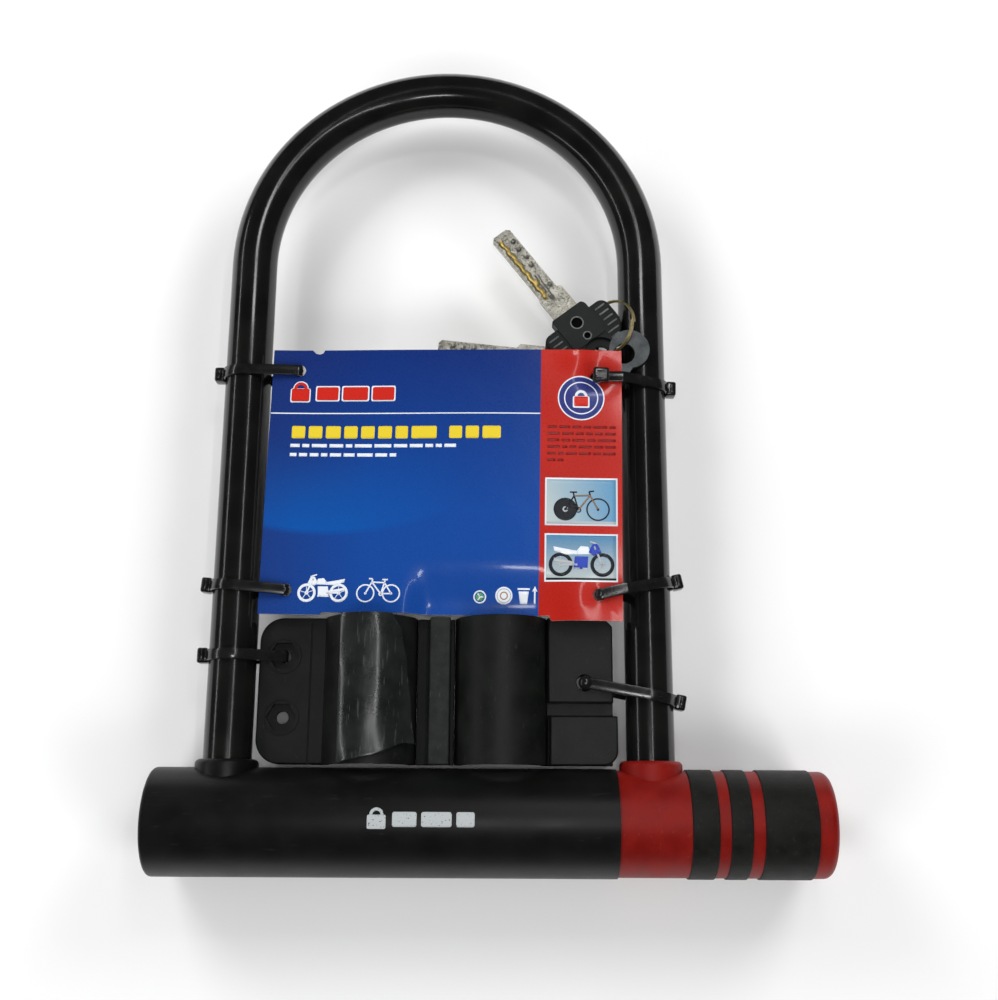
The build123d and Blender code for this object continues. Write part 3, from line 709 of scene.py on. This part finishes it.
printSet = dict(
    solidMm=0.06, liftMm=0.03, seed=11, line=(-75.6, 28.7, 41.5, 29.2),
    sign=(-63.2, 39.2, 9.4), signBars=((-56.0, -46.5), (-44.5, -33.5), (-31.5, -22.0)),
    signBarY=(35.0, 41.0),
    signInks=((0.55, "white", 1), (0.0, "red", 2)),         # growth past the sign, colour, level
    emblem=dict(place=(59.0, 36.2), r=10.1, under=0.1, rim=0.55, ringInset=2.7, ring=0.5, signDrop=0.2,
                signSize=8.6, redSize=7.2),
    rows=(      # x from and to, y from and to, colour, shortest and longest dash, gap, corner
        (-66.0, -3.0, 17.6, 23.2, "yellow", (5.2, 6.6), 1.5, 0.7),
        (2.4, 24.6, 17.6, 23.2, "yellow", (4.8, 6.0), 1.5, 0.7),
        (-66.3, 5.5, 13.6, 15.1, "white", (2.6, 7.5), 1.1, 0.0),
        (-66.3, -20.2, 9.5, 11.0, "white", (2.6, 7.5), 1.1, 0.0)),
    smallRows=dict(count=6, left=44.6, right=73.8, lastRight=51.5, low=22.5, high=23.7, step=2.95,
                   lengths=(2.2, 6.0), gap=0.9),
    pictures=(      # the two white frames, then each picture and the ground in it
        (43.8, -20.3, 74.5, 0.5, "white", 1), (43.8, -44.2, 74.5, -23.8, "white", 1),
        (44.5, -19.6, 73.8, -0.2, skyColour, 2), (44.5, -19.6, 73.8, -18.4, "grey", 3),
        (44.5, -43.5, 73.8, -24.5, roadColour, 2), (44.5, -43.5, 73.8, -42.6, "dark", 3)),
    bicycle=dict(hub=(52.4, -13.2), size=13.8, line=0.62, discR=4.9, hubR=1.2, tanLine=0.34),
    spokes=dict(place=(17.0, -50.6), r=2.7, rim=0.6, discR=1.7, length=1.6, width=0.5, count=3, turn=2.1),
    target=dict(place=(27.1, -50.0), r=3.6, rings=((3.0, 0.35, "grey"), (1.7, 0.5, "tan"))),
    bin=dict(body=((33.2, -48.2), (33.9, -53.4), (36.8, -53.4), (37.5, -48.2)),
             lid=(32.8, -47.6, 37.9, -46.9), shaft=(40.0, -53.2, 40.0, -47.6), shaftWidth=0.7,
             arrow=((38.9, -48.2), (41.1, -48.2), (40.0, -46.0))),
)


def drawSign(sheet):        # red padlock and bars with a pale edge
    x, y, size = printSet["sign"]
    low, high = printSet["signBarY"]
    for grow, colour, level in printSet["signInks"]:
        for loop in padlockLoops(x, y, size + 2 * grow):
            sheet.shape([loop], colour, level)
        for x0, x1 in printSet["signBars"]:
            sheet.bar(x0 - grow, low - grow, x1 + grow, high + grow, colour, level, 0.8)


def drawEmblem(sheet):
    emblem = printSet["emblem"]
    (x, y), r = emblem["place"], emblem["r"]
    sheet.disc(x, y, r - emblem["under"], "navy", 1)
    sheet.ring(x, y, r, emblem["rim"], "white", 2)
    sheet.ring(x, y, r - emblem["ringInset"], emblem["ring"], "white", 2)
    for loop in padlockLoops(x, y - emblem["signDrop"], emblem["signSize"]):
        sheet.shape([loop], "white", 2)
    body = padlockLoops(x, y - emblem["signDrop"], emblem["redSize"])[0]
    sheet.shape([body], "red", 3)


def drawSmallRows(sheet, dice):
    small = printSet["smallRows"]
    for row in range(small["count"]):
        right = small["lastRight"] if row == small["count"] - 1 else small["right"]
        low, high = (y - small["step"] * row for y in (small["low"], small["high"]))
        sheet.dashes(small["left"], right, low, high, "darkRed", small["lengths"], small["gap"], dice)


def drawPictures(sheet):
    for picture in printSet["pictures"]:
        sheet.bar(*picture)
    bicycle = printSet["bicycle"]
    (x, y), size = bicycle["hub"], bicycle["size"]
    sheet.disc(x, y, bicycle["discR"], "dark", 3)
    sheet.disc(x, y, bicycle["hubR"], "grey", 4)
    sheet.bicycle(x, y, size, bicycle["line"], "dark", 5)
    for line in bicycleLines(x, y, size)[3:6]:      # top tube, down tube and fork
        sheet.stroke(line, bicycle["tanLine"], "tan", 6)
    drawMotorcycle(sheet, 68.0, -37.0, 17.4, "dark", "grey", "white", "bodyBlue", 4, -1)


def drawSmallSigns(sheet):      # a spoked disc, a target and a bin with an arrow
    spokes, target, dustbin = printSet["spokes"], printSet["target"], printSet["bin"]
    x, y = spokes["place"]
    sheet.ring(x, y, spokes["r"], spokes["rim"], "white", 1)
    sheet.disc(x, y, spokes["discR"], "green", 1)
    for turn in range(spokes["count"]):
        angle, length = spokes["turn"] * turn, spokes["length"]
        line = (x, y, x + length * math.cos(angle), y + length * math.sin(angle))
        sheet.stroke(line, spokes["width"], "white", 2)
    x, y = target["place"]
    sheet.disc(x, y, target["r"], "white", 1)
    for r, width, colour in target["rings"]:
        sheet.ring(x, y, r, width, colour, 2)
    sheet.shape([dustbin["body"]], "white", 1)
    sheet.bar(*dustbin["lid"], "white", 1)
    sheet.stroke(dustbin["shaft"], dustbin["shaftWidth"], "white", 1)
    sheet.shape([dustbin["arrow"]], "white", 1)


def makeCardPrint():
    dice = random.Random(printSet["seed"])
    sheet = InkSheet()
    sheet.bar(*printSet["line"], "white")
    drawSign(sheet)
    for *row, corner in printSet["rows"]:
        sheet.dashes(*row, dice, corner)
    drawEmblem(sheet)
    drawSmallRows(sheet, dice)
    drawPictures(sheet)
    drawMotorcycle(sheet, -55.8, -49.9, 13.6, "white", "white", "white", "white", 1)
    sheet.bicycle(-20.1, -50.0, 10.8, 0.62, "white", 1, -1)
    drawSmallSigns(sheet)
    bm = sheet.bm
    sliceMesh(bm, cardColumns, cardRows)
    layOnCard(bm, card["thickness"] / 2 + printSet["liftMm"])
    placeInLock(bm)
    piece = makePiece("cardPrint", bm, "shackle", [cardInk], (), 50)
    return addWall(piece, printSet["solidMm"])


makeCardPrint()
print("card and its print made")


tieSet = dict(width=4.6, thickness=1.15, endR=1.0, edgeR=0.5, inset=0.8, gap=0.25, arcPoints=64,
              bevelMm=0.28, headOut=1.0, headUp=0.4, head=(4.4, 6.2, 6.4), headRound=0.9, slotInset=1.3,
              slotDepth=1.2, tail=(1.15, 3.4, 4.3), tailShift=-0.2, tailRound=0.2, blockOn=3,
              block=(7.0, 4.2, 6.4), blockShift=(-1.0, 3.2), blockSlot=(1.0, 0.8), domeShift=0.3,
              domeFlat=0.72)
tiePlaces = (   # side, place on the leg, hole, domed end (radius, height above the band's end) or none
    (-1, 192.0, card["holes"][0], (2.1, 0.4)), (-1, 96.4, card["holes"][1], (2.3, 0.5)),
    (-1, 67.5, (-65.8, 67.5), None), (1, 187.0, card["holes"][2], None),
    (1, 97.0, card["holes"][3], (2.5, 0.6)), (1, 51.4, (60.2, 56.6), (3.1, 0.9)),
)
# room between a band and the edge that it bends over, sideways and in height, and where its ends lie
bandRoom = dict(card=(0.2, 0.6), ear=(0.4, 1.2), block=(0.6, 6.8), belowPlate=3.2, belowBlock=0.6,
                behindCardZ=4.0, blockZ=6.4, cardRise=(0.4, 0.2))
earLow = nodeSpan("clamp_half_left")[0]
blockLow, blockHigh = nodeSpan("clamp_half_right")
plateTop = 2.0


def tieCircles(index):      # what the band goes round, from its side: distance from the leg, height, radius
    side, legY, (holeX, holeY), dome = tiePlaces[index]
    away = Vector((holeX - side * legX, holeY - legY))
    reach = away.length - tieSet["inset"]
    slant = math.atan2(abs(away.y), abs(away.x))
    loopR = coatR / math.cos(slant) + tieSet["width"] / 2 * math.tan(slant) + tieSet["gap"]
    cardUV = onCard(holeX, holeY)
    cardZ = cardHeight(*cardUV)
    endR, edgeR = tieSet["endR"], tieSet["edgeR"]
    (cardX, cardUp), (earX, earUp), (blockX, blockZ) = (bandRoom[name] for name in ("card", "ear", "block"))
    cardEdge = (legX - cardHigh.x - cardX, card["rightZ"] + cardUp, edgeR)
    earEdge = (legX + earLow.x - earX, plateTop + earUp, edgeR)
    blockEdge = (legX - blockHigh.x - blockX, blockZ, edgeR)
    upperRise, lowerRise = bandRoom["cardRise"]
    ends = {
        0: [(reach, cardZ, endR)],
        1: [(reach, cardZ, endR)],
        2: [(reach, plateTop - bandRoom["belowPlate"], endR), (reach, earLow.z, endR), earEdge],
        3: [(reach, cardZ + upperRise, endR), cardEdge, (reach, bandRoom["behindCardZ"], endR)],
        4: [(reach, cardZ + lowerRise, endR), cardEdge],
        5: [(reach, bandRoom["blockZ"], endR), (reach, blockLow.z - bandRoom["belowBlock"], endR),
            blockEdge],
    }
    return [(0.0, 0.0, loopR)] + ends[index]


def bandLoop(circles, grow):
    points = [point for x, y, r in circles for point in circlePoints(x, y, r + grow, tieSet["arcPoints"])]
    return [points[i] for i in convex_hull_2d([Vector(point) for point in points])]


def addBlock(bm, centre, size, roundMm, segments=3):
    place = Matrix.Translation(centre) @ Matrix.Diagonal((*size, 1.0))
    made = bmesh.ops.create_cube(bm, size=1.0, matrix=place)
    edges = {edge for vert in made["verts"] for edge in vert.link_edges}
    bmesh.ops.bevel(bm, geom=list(edges), offset=roundMm, segments=segments, profile=0.5, affect="EDGES",
                    material=-1)


def addSlot(bm, centre, facing, insetMm, depthMm):      # sinks the large face there that looks that way
    def score(face):
        away = (face.calc_center_median() - centre).length
        return face.normal.dot(facing) * 10 + face.calc_area() * 0.1 - away
    for face in bm.faces:
        face.normal_update()
    face = max(bm.faces, key=score)
    bmesh.ops.inset_individual(bm, faces=[face], thickness=insetMm)
    sunk = bmesh.ops.extrude_discrete_faces(bm, faces=[face])["faces"][0]
    bmesh.ops.translate(bm, verts=sunk.verts, vec=-facing * depthMm)


def makeTie(index):
    side, legY, (holeX, holeY), dome = tiePlaces[index]
    circles = tieCircles(index)
    endX, endZ = circles[1][:2]
    width, thickness = tieSet["width"], tieSet["thickness"]
    bm = bmesh.new()
    fillLoops(bm, [bandLoop(circles, thickness), bandLoop(circles, 0.0)], -width / 2)
    thicken(bm, bm.faces[:], width)
    sharp = [edge for edge in bm.edges if len(edge.link_faces) == 2 and edge.calc_face_angle(0) > 1.0]
    bmesh.ops.bevel(bm, geom=sharp, offset=tieSet["bevelMm"], segments=2, profile=0.5, affect="EDGES",
                    material=-1, clamp_overlap=True)
    head = bmesh.new()
    upward = Vector((0, 1, 0))          # in the band's own plane
    outX, headUp = -circles[0][2] - thickness - tieSet["headOut"], tieSet["headUp"]
    addBlock(head, Vector((outX, headUp, 0)), tieSet["head"], tieSet["headRound"])
    top = Vector((outX, headUp + tieSet["head"][1] / 2, 0))
    addSlot(head, top, upward, tieSet["slotInset"], tieSet["slotDepth"])
    addBlock(head, top + Vector((tieSet["tailShift"], 0.0, 0)), tieSet["tail"], tieSet["tailRound"], 2)
    if index == tieSet["blockOn"]:      # a second block, on the card
        shiftX, shiftZ = tieSet["blockShift"]
        middle = Vector((endX + shiftX, endZ + shiftZ, 0))
        addBlock(head, middle, tieSet["block"], tieSet["headRound"])
        addSlot(head, middle + Vector((0, tieSet["block"][1] / 2, 0)), upward, *tieSet["blockSlot"])
    if dome:
        radius, rise = dome
        place = Matrix.Translation((endX + tieSet["domeShift"], endZ + rise, 0))
        flatten = Matrix.Diagonal((1.0, tieSet["domeFlat"], 1.0, 1.0))
        bmesh.ops.create_uvsphere(head, u_segments=24, v_segments=14, radius=radius, matrix=place @ flatten)
    pasted = bpy.data.meshes.new("tieHead")
    head.to_mesh(pasted)
    head.free()
    bm.from_mesh(pasted)
    bpy.data.meshes.remove(pasted)
    along = Vector((holeX - side * legX, holeY - legY, 0)).normalized()
    up = Vector((0, 0, 1))
    turn = Matrix((along, up, along.cross(up))).transposed().to_4x4()
    bmesh.ops.transform(bm, matrix=Matrix.Translation((side * legX, legY, 0)) @ turn, verts=bm.verts)
    placeInLock(bm)
    name, node = f"cableTie{index + 1}", f"cable_tie_{index + 1}"
    return makePiece(name, bm, "shackle", [plastics["tie"]], [node], 40)


for index in range(len(tiePlaces)):
    makeTie(index)
print("cable ties made")


liner = dict(saddleX=11.5, saddleZ=-3.0, r=20.55, leftDegrees=-32.5, leaveDegrees=33.0, thickness=1.4,
             lowLeft=22.9, lowRight=30.6, lowSteep=1.1, lowWave=(0.7, 9), topRoom=0.1, columns=48,
             rows=64, rightAt=((84.2, -19.6), (76.0, -15.6), (62.0, -13.4), (45.0, -11.6), (30.0, -10.2)),
             bulgeMm=0.35, bulgeScale=(0.16, 0.06, 0.3), hemMm=1.0, hemY=(38, 15), hemWave=(11, 0.8),
             hemSteep=4, flareMm=0.8, flareX=(0.8, 5), flareY=(45, 20), edgeMm=0.35)
linerLow, linerHigh = nodeSpan("rubber_liner")


def linerRight(y):
    spots = liner["rightAt"]
    for (y1, x1), (y0, x0) in zip(spots, spots[1:]):
        if y >= y0:
            return x0 + (x1 - x0) * smooth((y - y0) / (y1 - y0))
    return spots[-1][1]


def linerLift(across, s, y):        # how far the strip stands off its saddle: bulges, hem, corner
    scaleS, scaleY, noiseZ = liner["bulgeScale"]
    lift = liner["bulgeMm"] * (0.5 + noise.noise(Vector((s * scaleS, y * scaleY, noiseZ))))
    (hemTop, hemOver), (waves, phase) = liner["hemY"], liner["hemWave"]
    hem = liner["hemMm"] * smooth((hemTop - y) / hemOver) * (0.5 + 0.5 * math.sin(across * waves + phase))
    lift += hem * smooth(across * liner["hemSteep"])
    (flareFrom, steep), (flareTop, flareOver) = liner["flareX"], liner["flareY"]
    lift += liner["flareMm"] * smooth((across - flareFrom) * steep) * smooth((flareTop - y) / flareOver)
    return lift


def makeLiner():
    centreX, r = linerLow.x + liner["saddleX"], liner["r"]
    leave = math.radians(liner["leaveDegrees"])         # where the strip leaves the saddle and runs straight
    left = r * math.radians(liner["leftDegrees"])
    swing, waves = liner["lowWave"]
    bm = bmesh.new()
    bmesh.ops.create_grid(bm, x_segments=liner["columns"], y_segments=liner["rows"], size=0.5)
    for vert in bm.verts:
        across, along = vert.co.x + 0.5, vert.co.y + 0.5
        low = liner["lowLeft"] + (liner["lowRight"] - liner["lowLeft"]) * smooth(across * liner["lowSteep"])
        low += swing * math.sin(across * waves)
        y = low + (linerHigh.y - liner["topRoom"] - low) * along
        offset = linerRight(y) - centreX
        right = r * math.asin(offset / r) if offset < r * math.sin(leave) else (
            r * leave + (offset - r * math.sin(leave)) / math.cos(leave))
        s = left + (right - left) * across
        angle = min(s / r, leave)
        beyond = max(0.0, s - r * leave)
        lift = linerLift(across, s, y)
        vert.co = (centreX + (r + lift) * math.sin(angle) + beyond * math.cos(angle), y,
                   liner["saddleZ"] + (r + lift) * math.cos(angle) - beyond * math.sin(angle))
    bmesh.ops.recalc_face_normals(bm, faces=bm.faces)
    placeInLock(bm)
    piece = makePiece("rubberStrip", bm, "shackle", [plastics["liner"]], ["rubber_liner"],
                      60)
    addWall(piece, liner["thickness"], 0.0)
    return addBevel(piece, liner["edgeMm"])


makeLiner()

boltRims = dict(x=10.2, ys=(42.1, 67.5), outerR=7.5, innerR=6.8, height=0.45, sink=0.1, edgeMm=0.15)


def makeBoltRims():
    bm = bmesh.new()
    x = earLow.x + boltRims["x"]
    for y in boltRims["ys"]:
        loops = [circlePoints(x, y, boltRims[r], 64) for r in ("outerR", "innerR")]
        fillLoops(bm, loops, plateTop - boltRims["sink"])
    thicken(bm, bm.faces[:], boltRims["height"])
    placeInLock(bm)
    piece = makePiece("boltRims", bm, "shackle", [plastics["bracket"]])
    return addBevel(piece, boltRims["edgeMm"])


makeBoltRims()
print("rubber strip and bolt rims made")


blade = dict(length=48.0, low=-5.4, high=4.2, chamfer=1.4, shoulderFrom=-12.0, shoulderHalf=6.2,
             tangTo=6.0, thickness=2.4, stepX=0.55, stepY=0.42, easeMm=0.3, wallMm=0.5, bareDepth=0.22,
             wave=(-2.75, 0.42, 5.2, 0.75, 0.5), waveSpan=(-45.5, -9.5), waveEnds=(1.5, 2.5),
             slot=(0.2, 0.6, 0.55), slotSpan=(-22.5, -7.0), slotEnds=(1.0, 4.0), slotLean=0.06,
             pocket=(-19.0, -2.3, 1.5, 0.55), pocketWall=0.7, dimpleR=1.25, dimpleWall=0.8,
             dimpleDeep=0.38,
             dimples=((-41.5, 2.0), (-37.0, 1.6), (-32.0, 2.2), (-27.5, 1.5), (-15.0, 2.4)))
keyPlaces = {1: ((53.7, 220.8, 5.8), -52.3, "keys"), 2: ((44.1, 202.0, -4.1), -6.0, "shackle")}


def placeKey(bm, number):       # from the key's own mm to the lock's
    place, turn, body = keyPlaces[number]
    turned = Matrix.Rotation(math.radians(turn), 4, "Z")
    bmesh.ops.transform(bm, matrix=Matrix.Translation(place) @ turned, verts=bm.verts)
    placeInLock(bm)


def bladeCut(x, y):         # depth of the milling at a place on the blade, and its share of bare brass
    ease, wall = blade["easeMm"], blade["wallMm"]
    middle, swing, pitch, half, deep = blade["wave"]
    (start, end), (startOver, endOver) = blade["waveSpan"], blade["waveEnds"]
    off = abs(y - middle - swing * math.sin(2 * math.pi * x / pitch))
    wave = deep * smooth((half + ease - off) / wall) * smooth((x - start) / startOver)
    wave *= smooth((end - x) / endOver)
    slotY, slotHalf, slotDeep = blade["slot"]
    (start, end), (startOver, endOver) = blade["slotSpan"], blade["slotEnds"]
    off = abs(y - (slotY - (x - start) * blade["slotLean"]))
    slot = slotDeep * smooth((slotHalf + ease - off) / wall) * smooth((x - start) / startOver)
    slot *= smooth((end - x) / endOver)
    pocketX, pocketY, pocketR, pocketDeep = blade["pocket"]
    off = math.hypot(x - pocketX, y - pocketY)
    pocket = pocketDeep * smooth((pocketR + ease - off) / blade["pocketWall"])
    off = min(math.hypot(x - dimpleX, y - dimpleY) for dimpleX, dimpleY in blade["dimples"])
    dimple = blade["dimpleDeep"] * smooth((blade["dimpleR"] - off) / blade["dimpleWall"])
    return max(wave, slot, pocket, dimple), min(1.0, max(wave, pocket) / blade["bareDepth"])


def makeBlade(number):
    low, high, length, half = blade["low"], blade["high"], blade["length"], blade["shoulderHalf"]
    chamfer, shoulder, tang = blade["chamfer"], blade["shoulderFrom"], blade["tangTo"]
    outline = [(-length + chamfer, low), (shoulder - 0.6, low), (shoulder, low - 0.4),
               (shoulder + 0.8, -half), (tang, -half), (tang, half), (shoulder + 0.8, half),
               (shoulder, half - 0.8), (shoulder - 0.4, high + 0.3), (shoulder - 1.0, high),
               (-length + chamfer, high), (-length, high - chamfer), (-length, low + chamfer)]
    bm = bmesh.new()
    fillLoops(bm, [outline])
    columns = steps(-length + 0.4, -0.5, blade["stepX"])
    sliceMesh(bm, columns, steps(-half + 0.3, half - 0.3, blade["stepY"]))
    thicken(bm, bm.faces[:], blade["thickness"])
    exposed = bm.verts.layers.float.new("exposed")
    for vert in bm.verts:
        depth, brass = bladeCut(vert.co.x, vert.co.y)
        face = 1 if vert.co.z > blade["thickness"] / 2 else -1
        vert.co.z += -blade["thickness"] / 2 - face * depth
        vert[exposed] = brass
    placeKey(bm, number)
    name, node, body = f"keyBlade{number}", f"key_{number}_blade", keyPlaces[number][2]
    return makePiece(name, bm, body, [metals["nickel"]], [node], 40)


headPits = dict(places=((7.5, 2.5), (15.0, 1.5)), top=3.3, floor=2.32, rim=0.5, height=0.22, sink=0.05,
                floorRoom=0.02, floorThickness=0.1)
headRibs = dict(wingXs=(7.6, 10.6, 13.6, 16.6), wingY=(10.3, 15.4), width=0.75, height=0.55, top=2.7,
                ridges=((19.6, 8.2, 14.2), (22.2, 8.0, 12.4)), sink=0.3, roundMm=0.24, headEdgeMm=0.25)


def makeHead(number):
    body = keyPlaces[number][2]
    cadCopy(f"key_{number}_head", body, plastics["keyHead"], headRibs["headEdgeMm"])
    bm = bmesh.new()
    width, height = headRibs["width"], headRibs["height"] + headRibs["sink"]
    z = headRibs["top"] + (headRibs["height"] - headRibs["sink"]) / 2
    # the ribs take a pale plastic that paints a highlight along them as well as scuffing
    lines = [(x, *headRibs["wingY"]) for x in headRibs["wingXs"]] + list(headRibs["ridges"])
    for x, y0, y1 in lines:
        for side in (-1, 1):
            for face in (1, -1):
                middle = Vector((x, side * (y0 + y1) / 2, face * z))
                addBlock(bm, middle, (width, y1 - y0, height), headRibs["roundMm"], 2)
    shadedPitFloors = []
    for x, r in headPits["places"]:         # a rim round each pit and, in it, a dark floor that is painted shade
        rim = [circlePoints(x, 0, r + headPits["rim"], 40), circlePoints(x, 0, r, 40)]
        thicken(bm, fillLoops(bm, rim, headPits["top"] - headPits["sink"]), headPits["height"])
        known = set(bm.faces)
        floor = fillLoops(bm, [circlePoints(x, 0, r - headPits["floorRoom"], 40)],
                          headPits["floor"] - headPits["sink"])
        thicken(bm, floor, headPits["floorThickness"])
        shadedPitFloors += [face for face in bm.faces if face not in known]
    for face in shadedPitFloors:
        face.material_index = 1
    placeKey(bm, number)
    return makePiece(f"headRibs{number}", bm, body, [plastics["keyRibScuffAndHighlight"], plastics["pit"]])


for number in keyPlaces:
    makeBlade(number)
    makeHead(number)


ring = dict(place=(73.2, 213.0, 8.2), tilt=-41.7, r=12.2, wireR=0.45, turns=2, pitch=1.15, steps=150)


def makeKeyRing():
    turns, pitch = ring["turns"], ring["pitch"]
    bm = bmesh.new()
    start = Matrix.Translation((ring["r"], 0, -pitch * turns / 2)) @ Matrix.Rotation(math.pi / 2, 4, "X")
    made = bmesh.ops.create_circle(bm, segments=12, radius=ring["wireR"], cap_ends=False, matrix=start)
    wire = made["verts"]
    edges = list({edge for vert in wire for edge in vert.link_edges})
    bmesh.ops.spin(bm, geom=wire + edges, cent=(0, 0, 0), axis=(0, 0, 1), angle=2 * math.pi * turns,
                   dvec=(0, 0, pitch / ring["steps"] * turns), steps=ring["steps"], use_merge=False)
    bmesh.ops.holes_fill(bm, edges=[edge for edge in bm.edges if edge.is_boundary], sides=0)
    bmesh.ops.recalc_face_normals(bm, faces=bm.faces)
    tilt = Matrix.Rotation(math.radians(ring["tilt"]), 4, "Y")
    bmesh.ops.transform(bm, matrix=Matrix.Translation(ring["place"]) @ tilt, verts=bm.verts)
    placeInLock(bm)
    return makePiece("keyRing", bm, "keys", [metals["brass"]], ["key_ring"])


makeKeyRing()
print("keys and ring made")


barMark = dict(r=21.75, shift=2.1, lift=0.05, skinMm=0.16, sign=(-23.2, 0.0, 8.8), barY=(-3.6, 2.2),
               bars=((-17.0, -7.4), (-5.6, 6.4), (8.2, 15.4)), corner=0.9, slices=(-4.2, 4.2, 0.6))


def makeBarMark():
    sheet = InkSheet()
    for loop in padlockLoops(*barMark["sign"]):
        sheet.shape([loop], "grey", 0)
    low, high = barMark["barY"]
    for x0, x1 in barMark["bars"]:
        sheet.bar(x0, low, x1, high, "grey", 0, barMark["corner"])
    bm = sheet.bm
    sliceMesh(bm, (), steps(*barMark["slices"]))
    for vert in bm.verts:           # wrapped round the bar
        angle = (vert.co.y + barMark["shift"]) / barMark["r"]
        reach = barMark["r"] + barMark["lift"]
        vert.co = (vert.co.x, reach * math.sin(angle), reach * math.cos(angle))
    placeInLock(bm)
    piece = makePiece("barMark", bm, "crossbar", [padPrint], (), 60)
    return addWall(piece, barMark["skinMm"])


makeBarMark()
print("pad print made")


studio = dict(floorSize=8.0, floorColour=(0.90, 0.90, 0.90), floorShade=0.985, floorPatchMm=90,
              floorRough=0.8, floorGap=0.0002, world=(0.95, 0.97, 1.0), worldStrength=0.04)


def makeFloor():
    bm = bmesh.new()
    bmesh.ops.create_grid(bm, x_segments=1, y_segments=1, size=studio["floorSize"] / 2)
    mesh = bpy.data.meshes.new("floor")
    bm.to_mesh(mesh)
    bm.free()
    material, tree, shader, coords = startMaterial("floorPaper")
    tone = remap(tree, noiseValue(tree, coords, studio["floorPatchMm"], 3.0), *noiseSpan)
    pale = studio["floorColour"]
    shaded = tuple(part * studio["floorShade"] for part in pale)
    tree.links.new(blendColours(tree, tone, pale, shaded), shader.inputs["Base Color"])
    shader.inputs["Roughness"].default_value = studio["floorRough"]
    mesh.materials.append(material)
    floor = bpy.data.objects.new("floor", mesh)
    bpy.context.scene.collection.objects.link(floor)
    floor.location.z = cadBounds[0].z - studio["floorGap"]


def addLight(name, placeMm, aimMm, sizeMm, power, mirrored=True):
    data = bpy.data.lights.new(name, "AREA")
    data.shape = "RECTANGLE"
    data.size, data.size_y = sizeMm[0] * mm, sizeMm[1] * mm
    data.energy = power
    lamp = bpy.data.objects.new(name, data)
    lamp.visible_glossy = mirrored
    bpy.context.scene.collection.objects.link(lamp)
    place, aim = at(*placeMm), at(*aimMm)
    lamp.location = place
    lamp.rotation_euler = (aim - place).to_track_quat("-Z", "Y").to_euler()


makeFloor()
world = bpy.data.worlds.new("studio")
bpy.context.scene.world = world
world.use_nodes = True
world.node_tree.nodes["Background"].inputs["Color"].default_value = (*studio["world"], 1.0)
world.node_tree.nodes["Background"].inputs["Strength"].default_value = studio["worldStrength"]
bpy.context.scene.view_settings.view_transform = "Standard"
cornerLights = (("backLeft", -620, 760, 5.8), ("backRight", 640, 740, 5.4), ("frontLeft", -600, -460, 4.0),
                ("frontRight", 640, -440, 4.0))
for name, x, y, power in cornerLights:      # these light the scene but aren't mirrored in it
    addLight(name, (x, y, 520), (0, 150, 0), (460, 460), power, False)
lights = (      # name, place, aim, size, power
    ("leftStrip", (-640, 230, 330), (-80, 230, 0), (900, 34), 0.7),
    ("overheadStrip", (150, 300, 640), (150, 300, 0), (22, 560), 0.5),
    ("overhead", (24, -10, 640), (24, -10, 0), (110, 50), 0.42),
    ("keyLight", (85, 505, 640), (85, 505, 0), (110, 70), 0.34),
    ("lowStrip", (0, -560, 120), (0, 0, 0), (900, 30), 0.06),
)
for light in lights:
    addLight(*light)

cameraSet = dict(place=(24.22, 4.91, 527.44), tilt=0.2436, roll=0.0057, lens=45.0, sensor=36.0,
                 clipStart=0.01)


def makeCamera():
    data = bpy.data.cameras.new("camera")
    data.lens = cameraSet["lens"]
    data.sensor_width = cameraSet["sensor"]
    data.clip_start = cameraSet["clipStart"]
    camera = bpy.data.objects.new("camera", data)
    bpy.context.scene.collection.objects.link(camera)
    tilt, roll = cameraSet["tilt"], cameraSet["roll"]
    camera.matrix_world = (Matrix.Translation(at(*cameraSet["place"])) @ Matrix.Rotation(tilt, 4, "X")
                           @ Matrix.Rotation(roll, 4, "Z"))
    bpy.context.scene.camera = camera


makeCamera()
print("floor, lights and camera set")
